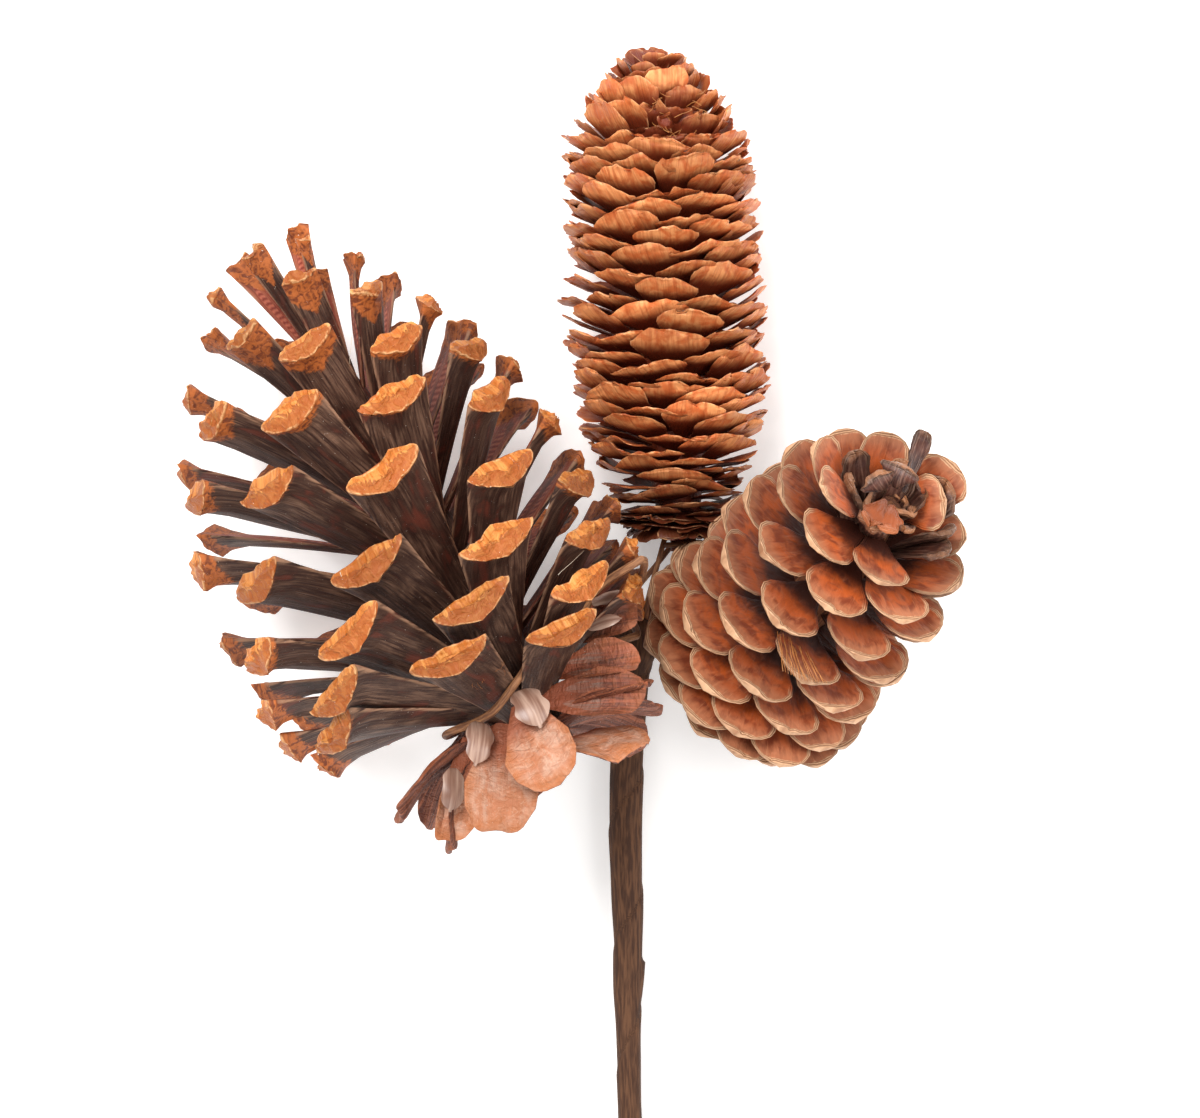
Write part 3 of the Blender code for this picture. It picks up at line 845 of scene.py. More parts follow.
@dataclass
class MeshData:
    """Points, faces and painted values that are gathered for one mesh."""

    points: list[np.ndarray] = field(default_factory=list)
    quads: list[np.ndarray] = field(default_factory=list)
    caps: list[np.ndarray] = field(default_factory=list)
    values: dict[str, list[np.ndarray]] = field(default_factory=dict)
    total: int = 0

    def add_tube(self, grid: np.ndarray, values: dict[str, np.ndarray]) -> None:
        """Add rings of points, joined in turn and closed at both ends.

        Args:
            grid: points by ring and place in the ring.
            values: painted values of the same shape, with or without a last axis of three.
        """
        rings, sides = grid.shape[:2]
        number = np.arange(rings * sides).reshape(rings, sides) + self.total
        after = np.roll(number, -1, axis=1)
        quads = np.stack([number[:-1], after[:-1], after[1:], number[1:]], axis=-1)
        self.quads.append(quads.reshape(-1, 4))
        self.caps.append(number[0][::-1])
        self.caps.append(number[-1])
        self.points.append(grid.reshape(-1, 3))
        for name, value in values.items():
            flat = value.reshape(-1, 3) if value.ndim == 3 else np.broadcast_to(value, (rings, sides)).reshape(-1)
            self.values.setdefault(name, []).append(flat)
        self.total += rings * sides

    def build(self, name: str, material: bpy.types.Material, sharp: float) -> bpy.types.Object:
        """Make the object.

        Args:
            name: its name.
            material: its only material.
            sharp: degrees between faces from which an edge shows sharp.

        Returns:
            The object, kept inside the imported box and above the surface.
        """
        low = np.array(CAD_BOX[0])
        high = np.array(CAD_BOX[1])
        points = np.clip(np.concatenate(self.points), low, high)
        points[:, 2] = np.maximum(points[:, 2], SURFACE)
        faces = [row.tolist() for row in np.concatenate(self.quads)] + [cap.tolist() for cap in self.caps]
        mesh = bpy.data.meshes.new(name)
        mesh.from_pydata(points.tolist(), [], faces)
        for label, parts in self.values.items():
            flat = np.concatenate(parts).astype(np.float32)
            kind = "FLOAT_VECTOR" if flat.ndim == 2 else "FLOAT"
            layer = mesh.attributes.new(label, kind, "POINT")
            layer.data.foreach_set("vector" if flat.ndim == 2 else "value", flat.ravel())
        mesh.update()
        mesh.shade_smooth()
        mesh.set_sharp_from_angle(angle=math.radians(sharp))
        mesh.materials.append(material)
        piece = bpy.data.objects.new(name, mesh)
        bpy.context.scene.collection.objects.link(piece)
        return piece


def attach(piece: bpy.types.Object, slot: str, *nodes: str) -> None:
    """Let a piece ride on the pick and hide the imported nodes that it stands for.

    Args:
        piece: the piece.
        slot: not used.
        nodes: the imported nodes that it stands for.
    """
    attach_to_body(piece, BODY)
    if nodes:
        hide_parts(*nodes)
    log.info("%s: %d faces", piece.name, len(piece.data.polygons))


def tube(data: MeshData, path: np.ndarray, radius: float, sides: int, rough: float, seed: int) -> None:
    """Add a round strand along a path.

    Args:
        data: the mesh to add to.
        path: points in metres.
        radius: its radius in metres.
        sides: points round it.
        rough: share of the radius by which it is uneven.
        seed: picks the unevenness.
    """
    ways = np.gradient(path, axis=0)
    ways /= np.linalg.norm(ways, axis=1)[:, None] + 1e-12
    normal = np.cross(ways[0], [0.3, 0.2, 1.0])
    normal /= np.linalg.norm(normal)
    lengths = np.concatenate([[0.0], np.cumsum(np.linalg.norm(np.diff(path, axis=0), axis=1))]) / MM
    rings, places = [], []
    angles = np.arange(sides) / sides * 2 * math.pi
    for point, way, run in zip(path, ways, lengths):
        normal = normal - way * np.dot(normal, way)
        normal /= np.linalg.norm(normal)
        other = np.cross(way, normal)
        round_it = np.cos(angles)[:, None] * normal + np.sin(angles)[:, None] * other
        key = np.stack([np.cos(angles) * 1.5, np.sin(angles) * 1.5, np.full(sides, run * 0.6)], axis=-1)
        uneven = 1 + rough * cloud(key, seed)
        rings.append(point + round_it * (radius * uneven)[:, None])
        place = [angles * radius / MM, np.full(sides, run), np.full(sides, seed * 7.3)]
        places.append(np.stack(place, axis=-1))
    data.add_tube(np.array(rings), {"blade": np.array(places)})


@dataclass
class ConePiece:
    """A cone as one mesh: its core with every scale on it."""

    name: str
    growth: Growth
    ring: int
    sharp: float
    finish: "OpenConeFinish | PaperyConeFinish | RimmedConeFinish"
    stations: tuple[Station, ...]
    low_stations: tuple[Station, ...] = ()
    widen: float = 1.0
    blunt: float = 0.0
    node: str = ""
    leaves: tuple[Leaf, ...] = ()

    def surface(self, scale: AnyScale, chance: np.random.Generator) -> Surface:
        """Points of one scale before they are placed.

        Args:
            scale: the scale.
            chance: source of its unevenness.

        Returns:
            Its points and painted values.
        """
        rows = sample(self.stations if scale.low == 0 else self.low_stations)
        along, half, keel, crown, tip = (rows[:, column][:, None] for column in range(5))
        angle = np.arange(self.ring)[None, :] / self.ring * 2 * math.pi
        across, above = np.cos(angle), np.sin(angle)
        width = scale.width * self.widening(scale) / 2
        depth = scale.width / max(self.growth.widths)
        spread = half * width * across
        blunt = self.blunt * np.clip((along - 0.80) / 0.14, 0, 1) * (1 - scale.low)
        keeled = 0.55 * np.abs(above) + 0.45 * (1 - np.abs(across))
        below = keeled * (1 - blunt) + np.abs(above) ** 0.7 * blunt
        lift = np.where(above > 0, crown * np.abs(above), -keel * below) * depth
        middle = -0.42 * keel * depth
        lift = np.where(tip > 0.5, middle + (lift - middle) * half, lift)
        along = np.broadcast_to(along, spread.shape).copy()
        rim = float(self.stations[-1].along)
        inner = np.minimum((1 - np.abs(across)) * half * width, np.maximum(rim - along, 0) * scale.length)
        inner = np.where(tip > 0.5, (1 - half) * width * 0.8, inner)
        upper = np.where(tip > 0.5, 0.5 + 0.5 * above * half, np.where(above > 0.01, 1.0, 0.0))
        shape = Surface(along, spread, lift, np.broadcast_to(tip, spread.shape), inner, upper)
        self.form(shape, scale, width, chance)
        return shape

    def widening(self, scale: AnyScale) -> float:
        """How much wider a scale is than its packed blade."""
        return self.widen

    def form(self, shape: Surface, scale: AnyScale, width: float, chance: np.random.Generator) -> None:
        """Bend and roughen a scale in place, as each kind of cone has it."""

    def inner_scales(self) -> list[Scale]:
        """Small scales that close the cone's top."""
        return []

    def add_scale(self, data: MeshData, scale: AnyScale, put: Callable[..., np.ndarray]) -> None:
        """Add one scale to a mesh.

        Args:
            data: the mesh to add to.
            scale: the scale.
            put: gives the points in metres for shares of its length, spreads and lifts.
        """
        fine = np.random.default_rng((self.growth.seed, scale.index + 500))
        shape = self.surface(scale, fine)
        flat = np.zeros(shape.along.shape)
        angle = np.arange(self.ring)[None, :] / self.ring * 2 * math.pi
        wear = min(1.2, max(0.0, 1.6 + 1.9 * math.sin(scale.turn), (scale.share - 0.42) * 2.4))
        wear += min(0.8, max(0.0, scale.share * 6 - 4.6))
        data.add_tube(put(shape.along, shape.spread, shape.lift), {
            "blade": np.stack([shape.spread, shape.along * scale.length, flat + scale.index * 13.7], axis=-1),
            "across": flat + np.cos(angle), "along": shape.along,
            "upper": shape.upper, "tip": shape.tip, "edge": shape.edge,
            "low": flat + scale.low, "tone": flat + fine.random(),
            "height": flat + scale.share, "wear": flat + wear,
        })

    def add_core(self, data: MeshData) -> None:
        """Add the core and the stalk.

        Args:
            data: the mesh to add to.
        """
        growth = self.growth
        low = growth.foot()
        high = growth.scale(growth.count - 1, None).root_height + 6.0
        radius, length = growth.stalk
        levels = np.concatenate([np.linspace(low - length, low - 0.5, 8), np.linspace(low, high, 48)])
        stalk = np.full(8, radius - 0.1)
        core = np.array([smooth(growth.core, share) for share in np.linspace(0, 1, 48)])
        radii = np.concatenate([stalk, core])
        angles = np.arange(20) / 20 * 2 * math.pi
        _, side, across = growth.axes()
        ring = side * np.cos(angles)[:, None] + across * np.sin(angles)[:, None]
        key = np.stack(np.broadcast_arrays(np.cos(angles)[None] * 3, np.sin(angles)[None] * 3,
                                           levels[:, None] * 0.4), axis=-1)
        uneven = radii[:, None] * (0.97 + 0.03 * cloud(key, growth.seed))
        grid = (growth.axis_points(levels)[:, None] + ring[None] * uneven[..., None]) * MM
        flat = np.zeros(grid.shape[:2])
        place = np.stack(np.broadcast_arrays(angles[None] * 6.0, levels[:, None], flat), axis=-1)
        data.add_tube(grid, {
            "blade": place, "across": flat, "along": flat, "upper": flat, "tip": flat,
            "edge": flat + 5.0, "low": flat, "tone": flat + 0.2, "height": flat + 0.4, "wear": flat,
        })

    def build(self) -> None:
        """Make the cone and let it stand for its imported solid."""
        growth = self.growth
        data = MeshData()
        chance = random.Random(growth.seed)
        for index in range(-growth.basal, growth.count):
            scale = growth.scale(index, chance)
            if index not in growth.laid:
                self.add_scale(data, scale, functools.partial(growth.place, scale))
        for scale in self.inner_scales():
            self.add_scale(data, scale, functools.partial(growth.place, scale))
        for leaf in self.leaves:
            self.add_scale(data, leaf, leaf.place)
        self.add_core(data)
        piece = data.build(self.name, self.finish.material(), self.sharp)
        attach(piece, self.node, self.node)


@dataclass
class OpenCone(ConePiece):
    """The large cone: long blades that flare into thick ends with a broken ridge across them."""

    end_slant: float = 0.42
    ridge: float = 1.5

    def form(self, shape: Surface, scale: AnyScale, width: float, chance: np.random.Generator) -> None:
        """Slant and break the end face, ripple the blade and cup the broad lowest scales."""
        seed = int(chance.integers(1, 9999))
        woody = 1 - scale.low
        across = shape.spread / width
        flare = np.clip((shape.along - 0.84) / 0.10, 0, 1)
        wave = cloud(np.stack([across * 2.6, shape.along * 0 + seed, shape.tip * 0], axis=-1), seed)
        shape.lift += np.where(shape.lift > 0, wave * 0.6 * flare * woody, 0)
        slant = self.end_slant * woody * flare
        line = -2.0 + 1.3 * wave
        ridge = self.ridge * np.exp(-((shape.lift - line) / 0.55) ** 2) * (1 - across ** 2).clip(0) * shape.tip
        push = shape.lift * slant + ridge * woody + wave * 0.5 * shape.tip
        rough = cloud(np.stack([shape.spread * 0.9, shape.lift * 0.9, shape.along * 40], axis=-1), seed + 1)
        push += rough * 0.55 * shape.tip
        swell = 0.7 + 1.6 * min(1.0, max(0.0, (scale.share - 0.25) / 0.30))
        shape.lift += swell * (1 - across ** 2) * flare * woody * np.clip((shape.lift + 2.0) / 2.5, 0, 1)
        shape.along += push / scale.length
        ripple = cloud(np.stack([shape.spread * 0.8, shape.along * 2.0, shape.lift * 0.2], axis=-1), seed + 2)
        shape.lift += ripple * (0.30 + 0.15 * scale.low)
        twist = chance.uniform(-0.16, 0.16) * woody
        shape.lift += shape.spread * twist * np.clip(shape.along, 0, 1) ** 2
        cup = scale.low * 1.6 * across ** 2 * np.clip(shape.along * 1.4, 0, 1)
        rim_wave = cloud(np.stack([across * 2.2, shape.along * 3.0, shape.tip * 0], axis=-1), seed + 3)
        shape.lift += cup + scale.low * rim_wave * 1.1 * np.clip(shape.along * 1.3 - 0.2, 0, 1)
        lobes = cloud(np.stack([across * 1.7, shape.tip * 0, shape.tip * 0], axis=-1), seed + 4)
        shape.along += scale.low * lobes * 0.035 * np.clip(shape.along * 1.5 - 0.5, 0, 1)
        folds = cloud(np.stack([shape.spread * 0.25, shape.along * 9.0, shape.tip * 0], axis=-1), seed + 5)
        shape.lift += scale.low * folds * 0.35 * np.clip(shape.along * 2 - 0.8, 0, 1)


@dataclass
class PaperyCone(ConePiece):
    """The spruce cone: thin scales, a little hollow, with worn and wavy edges."""

    tuft: int = 15
    foot_scales: int = 24

    def widening(self, scale: AnyScale) -> float:
        """The lowest scales are broad and nearly flat."""
        return self.widen + 0.75 * max(0.0, 1 - scale.share / 0.16)

    def inner_scales(self) -> list[Scale]:
        """The upright scales of the ragged top, and the dark small ones at the stalk."""
        growth = self.growth
        chance = random.Random(growth.seed + 1)
        scales = []
        for number in range(self.tuft):
            part = number / (self.tuft - 1)
            turn = math.radians(growth.first + growth.step * (growth.count + number) + chance.uniform(-20, 20))
            height = 121.5 + chance.uniform(-7.0, 1.0)
            reach = 9.4 - 6.4 * part + chance.uniform(-0.8, 0.8)
            lean = math.radians(30.0 - 18.0 * part + chance.uniform(-14, 14))
            scales.append(Scale(growth.count + number, 1.0, 0.0, height, reach, lean, chance.uniform(6.5, 9.0),
                                -0.3, turn, chance.uniform(-0.2, 0.2), 1.2))
        for number in range(self.foot_scales):
            part = number / (self.foot_scales - 1)
            turn = math.radians(growth.first - growth.step * (number + 1) + chance.uniform(-12, 12))
            scales.append(Scale(growth.count + self.tuft + number, 0.0, 0.0, 2.4 - 6.4 * part,
                                17.5 - 7.0 * part, math.radians(92.0 + 46.0 * part), 11.0 - 3.0 * part,
                                0.25, turn, chance.uniform(-0.15, 0.15), 2.0))
        return scales

    def form(self, shape: Surface, scale: AnyScale, width: float, chance: np.random.Generator) -> None:
        """Ripple the scale, wear and split its edge, and tear those of the front hollow."""
        seed = int(chance.integers(1, 9999))
        shape.along *= 1 + chance.uniform(-0.045, 0.045) + (0.07 if chance.random() < 0.08 else 0.0)
        shape.along *= 1 - 1.6 * max(0.0, scale.share - 0.92)
        shape.spread *= chance.uniform(0.84, 1.10)
        across = shape.spread / width
        end = np.clip(shape.along * 1.25 - 0.25, 0, 1)
        wave = cloud(np.stack([across * 1.6, shape.along * 0.8, shape.tip * 0 + 0.5], axis=-1), seed)
        ribs = cloud(np.stack([shape.spread * 1.1, shape.along * 1.2, shape.tip * 0], axis=-1), seed + 1)
        nick = cloud(np.stack([shape.spread * 0.45, shape.tip * 0, shape.tip * 0 + 0.3], axis=-1), seed + 2)
        frayed = cloud(np.stack([shape.spread * 1.7, shape.tip * 0, shape.tip * 0 + 0.7], axis=-1), seed + 4)
        shape.lift += (wave * 1.3 + ribs * 0.22) * end
        shape.lift += 0.9 * (1 - across ** 2) * np.clip((shape.along - 0.7) / 0.3, 0, 1) ** 2
        shape.along += (nick * 0.060 + frayed * 0.022) * end
        if chance.random() < 0.34:
            split = chance.uniform(-0.45, 0.45)
            shape.along -= 0.15 * np.exp(-((across - split) / 0.10) ** 2) * end ** 4
        tilt = chance.uniform(-0.16, 0.16)
        curl = chance.uniform(-1.6, 2.6)
        shape.lift += shape.spread * tilt * end + curl * end ** 3
        depth = self.torn_depth(scale)
        if depth > 0:
            ragged = cloud(np.stack([shape.spread * 0.9, shape.tip * 0, shape.tip * 0], axis=-1), seed + 3)
            shape.along *= 1 - depth * (0.30 + 0.10 * ragged) * end
            shape.lift += ragged * 1.2 * depth * end

    @staticmethod
    def torn_depth(scale: AnyScale) -> float:
        """How far a scale is broken off in the hollow near the top, 0 to 1."""
        off = math.degrees(scale.turn) % 360 - 282.0
        off = (off + 180) % 360 - 180
        near = (off / 52.0) ** 2 + ((scale.share - 0.885) / 0.075) ** 2
        return max(0.0, 1.15 - near)


@dataclass
class RimmedCone(ConePiece):
    """The small pine cone: rounded scales, hollow above, with a thick layered rim."""

    inside: int = 15

    def widening(self, scale: AnyScale) -> float:
        """The uppermost scales are as broad as those below them."""
        return self.widen + 0.42 * min(1.0, max(0.0, (scale.share - 0.80) / 0.15)) * (scale.share <= 1.0)

    def inner_scales(self) -> list[Scale]:
        """The knobby scales, dark with resin, that fill the top."""
        growth = self.growth
        chance = random.Random(growth.seed + 1)
        scales = []
        for number in range(self.inside):
            part = number / (self.inside - 1)
            turn = math.radians(growth.first + growth.step * (growth.count + number) + chance.uniform(-25, 25))
            height = 84.5 - 5.0 * part + chance.uniform(-3.0, 2.5)
            reach = 18.0 - 15.0 * part + chance.uniform(-1.5, 1.5)
            lean = math.radians(38.0 - 30.0 * part + chance.uniform(-8, 8))
            scales.append(Scale(growth.count + number, 1.05, 0.0, height, max(reach, 2.6), lean,
                                chance.uniform(5.0, 10.0), chance.uniform(-0.3, 0.9), turn,
                                chance.uniform(-0.7, 0.7), 1.6))
        return scales

    def form(self, shape: Surface, scale: AnyScale, width: float, chance: np.random.Generator) -> None:
        """Cup the scale, crease some and roughen the rim."""
        seed = int(chance.integers(1, 9999))
        across = shape.spread / width
        end = np.clip(shape.along * 1.3 - 0.3, 0, 1)
        wave = cloud(np.stack([across * 1.5, shape.along * 1.6, shape.tip * 0], axis=-1), seed)
        rough = cloud(np.stack([shape.spread * 0.8, shape.lift * 1.5, shape.along * 14], axis=-1), seed + 1)
        shape.lift += wave * 0.5 * end + 0.8 * across ** 2 * end
        shape.lift += rough * 0.18 * np.clip(shape.along * 3 - 1.8, 0, 1)
        shape.along += cloud(np.stack([across * 2.0, shape.tip * 0, shape.tip * 0], axis=-1), seed + 2) * 0.014 * end
        if chance.random() < 0.35:
            middle = chance.uniform(-0.3, 0.3) + 0.12 * cloud(
                np.stack([shape.along * 4, shape.tip * 0, shape.tip * 0], axis=-1), seed + 3)
            shape.lift -= 0.7 * np.exp(-((across - middle) / 0.07) ** 2) * np.where(shape.lift > 0, 1, 0.2) * end
        if scale.share > 1.0:
            knob = np.exp(-((shape.along - 0.93) / 0.06) ** 2)
            lumps = cloud(np.stack([shape.spread * 0.6, shape.lift * 0.6, shape.along * 9], axis=-1), seed + 5)
            shape.lift += (np.sign(shape.lift) * 0.45 + lumps * 1.1) * knob
            shape.spread += lumps * 1.0 * end


LARGE_STATIONS = (
    Station(0.00, 0.34, 1.4, 0.8, 0.0),
    Station(0.45, 0.66, 1.8, 0.8, 0.0, 4),
    Station(0.78, 0.88, 2.4, 0.7, 0.0, 4),
    Station(0.88, 0.96, 3.9, 0.6, 0.0, 3),
    Station(0.945, 1.00, 5.7, 0.7, 0.0, 3),
    Station(0.948, 0.985, 5.7, 0.6, 1.0, 1),
    Station(0.953, 0.84, 5.7, 0.6, 1.0, 2),
    Station(0.958, 0.56, 5.7, 0.6, 1.0, 2),
    Station(0.961, 0.26, 5.7, 0.6, 1.0, 2),
    Station(0.962, 0.03, 5.7, 0.6, 1.0, 1),
)
LOW_STATIONS = (
    Station(0.00, 0.26, 1.2, 0.8, 0.0),
    Station(0.30, 0.66, 1.1, 0.8, 0.0, 4),
    Station(0.60, 0.99, 1.0, 0.8, 0.0, 4),
    Station(0.80, 0.93, 1.0, 0.8, 0.0, 3),
    Station(0.94, 0.66, 0.9, 0.7, 0.0, 3),
    Station(0.965, 0.54, 0.9, 0.7, 0.0, 1),
    Station(0.985, 0.38, 0.8, 0.6, 0.0, 2),
    Station(0.995, 0.22, 0.7, 0.5, 0.0, 2),
    Station(1.000, 0.10, 0.5, 0.4, 0.0, 2),
    Station(1.001, 0.02, 0.2, 0.1, 0.0, 1),
)
SPRUCE_STATIONS = (
    Station(0.00, 0.06, 0.6, 0.2, 0.0),
    Station(0.50, 0.62, 0.6, 0.2, 0.0, 3),
    Station(0.80, 0.97, 0.6, 0.2, 0.0, 3),
    Station(0.88, 0.97, 0.5, 0.2, 0.0, 2),
    Station(0.94, 0.76, 0.5, 0.2, 0.0, 3),
    Station(0.975, 0.50, 0.4, 0.15, 0.0, 2),
    Station(0.993, 0.26, 0.35, 0.12, 0.0, 1),
    Station(1.000, 0.08, 0.2, 0.08, 0.0, 1),
)
SMALL_STATIONS = (
    Station(0.00, 0.16, 0.7, 0.4, 0.0),
    Station(0.45, 0.56, 0.9, 0.4, 0.0, 4),
    Station(0.70, 0.93, 1.4, 0.4, 0.0, 4),
    Station(0.82, 1.00, 1.9, 0.4, 0.0, 3),
    Station(0.90, 0.92, 2.1, 0.4, 0.0, 3),
    Station(0.955, 0.72, 2.1, 0.4, 0.0, 3),
    Station(0.985, 0.46, 2.0, 0.4, 0.0, 2),
    Station(0.998, 0.24, 1.8, 0.4, 0.0, 2),
    Station(1.000, 0.06, 1.2, 0.3, 0.0, 1),
)


FRONT = math.radians(270)
BROAD_LEAVES = (
    Leaf((505, 724, 74), (497, 835, 84), 21.0, tilt=-5.0, curl=2.5, hollow=0.8, low=1.0, index=101, turn=FRONT),
    Leaf((520, 704, 80), (560, 785, 90), 20.5, tilt=8.0, curl=3.0, hollow=0.8, low=1.0, index=102, turn=FRONT),
    Leaf((468, 738, 68), (447, 842, 70), 13.0, tilt=-22.0, curl=1.5, hollow=0.8, low=1.0, index=103, turn=FRONT),
    Leaf((535, 700, 70), (644, 696, 78), 15.5, tilt=-26.0, curl=1.0, hollow=1.6, low=1.0, index=104),
    Leaf((540, 676, 66), (642, 660, 74), 12.5, tilt=-38.0, curl=1.0, hollow=1.4, low=1.0, index=105),
    Leaf((546, 640, 60), (640, 612, 66), 13.5, tilt=-24.0, curl=1.0, hollow=1.4, low=1.0, index=106),
)
APEX_LEAVES = (
    Leaf((903, 492, 72), (925, 430, 68), 5.0, tilt=10.0, curl=0.8, share=1.05, index=201),
    Leaf((893, 520, 50), (955, 466, 60), 9.5, tilt=6.0, curl=1.5, hollow=0.6, share=0.97, index=202),
    Leaf((886, 500, 76), (868, 522, 84), 6.0, tilt=0.0, curl=1.0, share=1.06, index=203),
    Leaf((892, 505, 76), (886, 530, 84), 6.5, tilt=10.0, curl=1.0, share=1.06, index=204),
    Leaf((884, 490, 76), (874, 474, 80), 8.0, tilt=-10.0, curl=1.5, share=1.05, index=205),
    Leaf((876, 512, 56), (945, 500, 66), 9.0, tilt=-4.0, curl=1.5, hollow=0.6, share=0.97, index=206),
    Leaf((895, 488, 77), (905, 465, 79), 9.0, tilt=-14.0, curl=1.5, hollow=1.0, share=1.05, index=207),
)

STEM_LINE = ((9.0, -14.0, 14.6), (7.7, -38.0, 12.8), (6.6, -66.0, 10.4), (7.2, -96.0, 8.4),
             (7.4, -126.0, 6.4), (8.4, -156.0, 4.6), (9.8, -186.0, 3.4))
STEM_RADII = (4.6, 4.5, 4.35, 3.9, 3.25, 3.7, 3.6)


def stem_point(share: float) -> np.ndarray:
    """Point of the stem's middle line, in millimetres, at a share of its length."""
    return smooth_point(STEM_LINE, share) - CENTRE_MM


def stem_way(share: float) -> np.ndarray:
    """Direction in which the stem runs there."""
    way = stem_point(share + 0.01) - stem_point(share - 0.01)
    return way / np.linalg.norm(way)


@dataclass
class TapedStem:
    """Brown paper tape wound down the stem, with a thicker head where the wires come in."""

    name: str = "stem_tape_paper"
    sides: int = 48
    rings: int = 230
    head_radius: float = 6.2
    head_tip: float = 3.0
    head_shoulder: float = 0.014
    head_end: float = 0.075
    head_taper: float = 0.035
    turn_length: float = 30.0
    overlap: float = 0.35
    loose: tuple[float, float] = (93.0, 104.0)
    finish: FibreFinish = FibreFinish("taped_stem", "341f16", "66452f", 0.8, 1.5, 0.07, 0.0005, 0.25)

    def radius(self, share: float) -> float:
        """Radius of the wound stem at a share of its length, in millimetres."""
        stops = ((0.0, self.head_tip), (self.head_shoulder, self.head_radius), (self.head_end, self.head_radius))
        for (before, low), (after, high) in zip(stops, stops[1:]):
            if share <= after:
                return low + (high - low) * (share - before) / (after - before)
        start = self.head_end + self.head_taper
        body = smooth(STEM_RADII, (share - start) / (1 - start))
        if share < start:
            part = (share - self.head_end) / self.head_taper
            return self.head_radius + (body - self.head_radius) * part
        return body

    def build(self) -> None:
        """Make the tape as one closed skin with its winding edge."""
        data = MeshData()
        angles = np.arange(self.sides) / self.sides * 2 * math.pi
        rings, places = [], []
        for share in np.linspace(0.0, 1.0, self.rings):
            way = stem_way(share)
            side = np.cross(way, [0.0, 0.0, 1.0])
            side /= np.linalg.norm(side)
            up = np.cross(side, way)
            run = share * 172.0
            winding = (angles / (2 * math.pi) + run / self.turn_length) % 1.0
            step = np.where(winding < 0.06, winding / 0.06, 1 - (winding - 0.06) / 0.94)
            key = np.stack([np.cos(angles) * 2.6, np.sin(angles) * 2.6, np.full(self.sides, run * 0.035)], axis=-1)
            lumps = cloud(np.stack([np.cos(angles) * 0.8, np.sin(angles) * 0.8,
                                    np.full(self.sides, run * 0.10)], axis=-1), 5)
            size = self.radius(share) - 0.35 + step * self.overlap + cloud(key, 3) * 0.16 + lumps * 0.16
            loose = np.exp(-((angles - math.pi) / 0.42) ** 2) * np.clip((run - self.loose[0]) / 0.6, 0, 1)
            size += 0.9 * loose * np.clip((self.loose[1] - run) / (self.loose[1] - self.loose[0]), 0, 1)
            ring = np.cos(angles)[:, None] * side + np.sin(angles)[:, None] * up
            rings.append((stem_point(share) + ring * size[:, None]) * MM)
            places.append(np.stack([angles * 4.0, np.full(self.sides, run), winding * 3], axis=-1))
        data.add_tube(np.array(rings), {"blade": np.array(places)})
        piece = data.build(self.name, self.finish.material(), 50.0)
        attach(piece, "stem_tape", "stem_tape")


@dataclass
class StemRod:
    """The rod inside the tape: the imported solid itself, whose end shows at the cut."""

    finish: FibreFinish = FibreFinish("stem_rod", "6f5236", "a98a62", 0.7)

    def build(self) -> None:
        """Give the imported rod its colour."""
        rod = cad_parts["stem_core"]
        rod.data.materials.clear()
        rod.data.materials.append(self.finish.material())
        log.info("%s: coloured", rod.name)


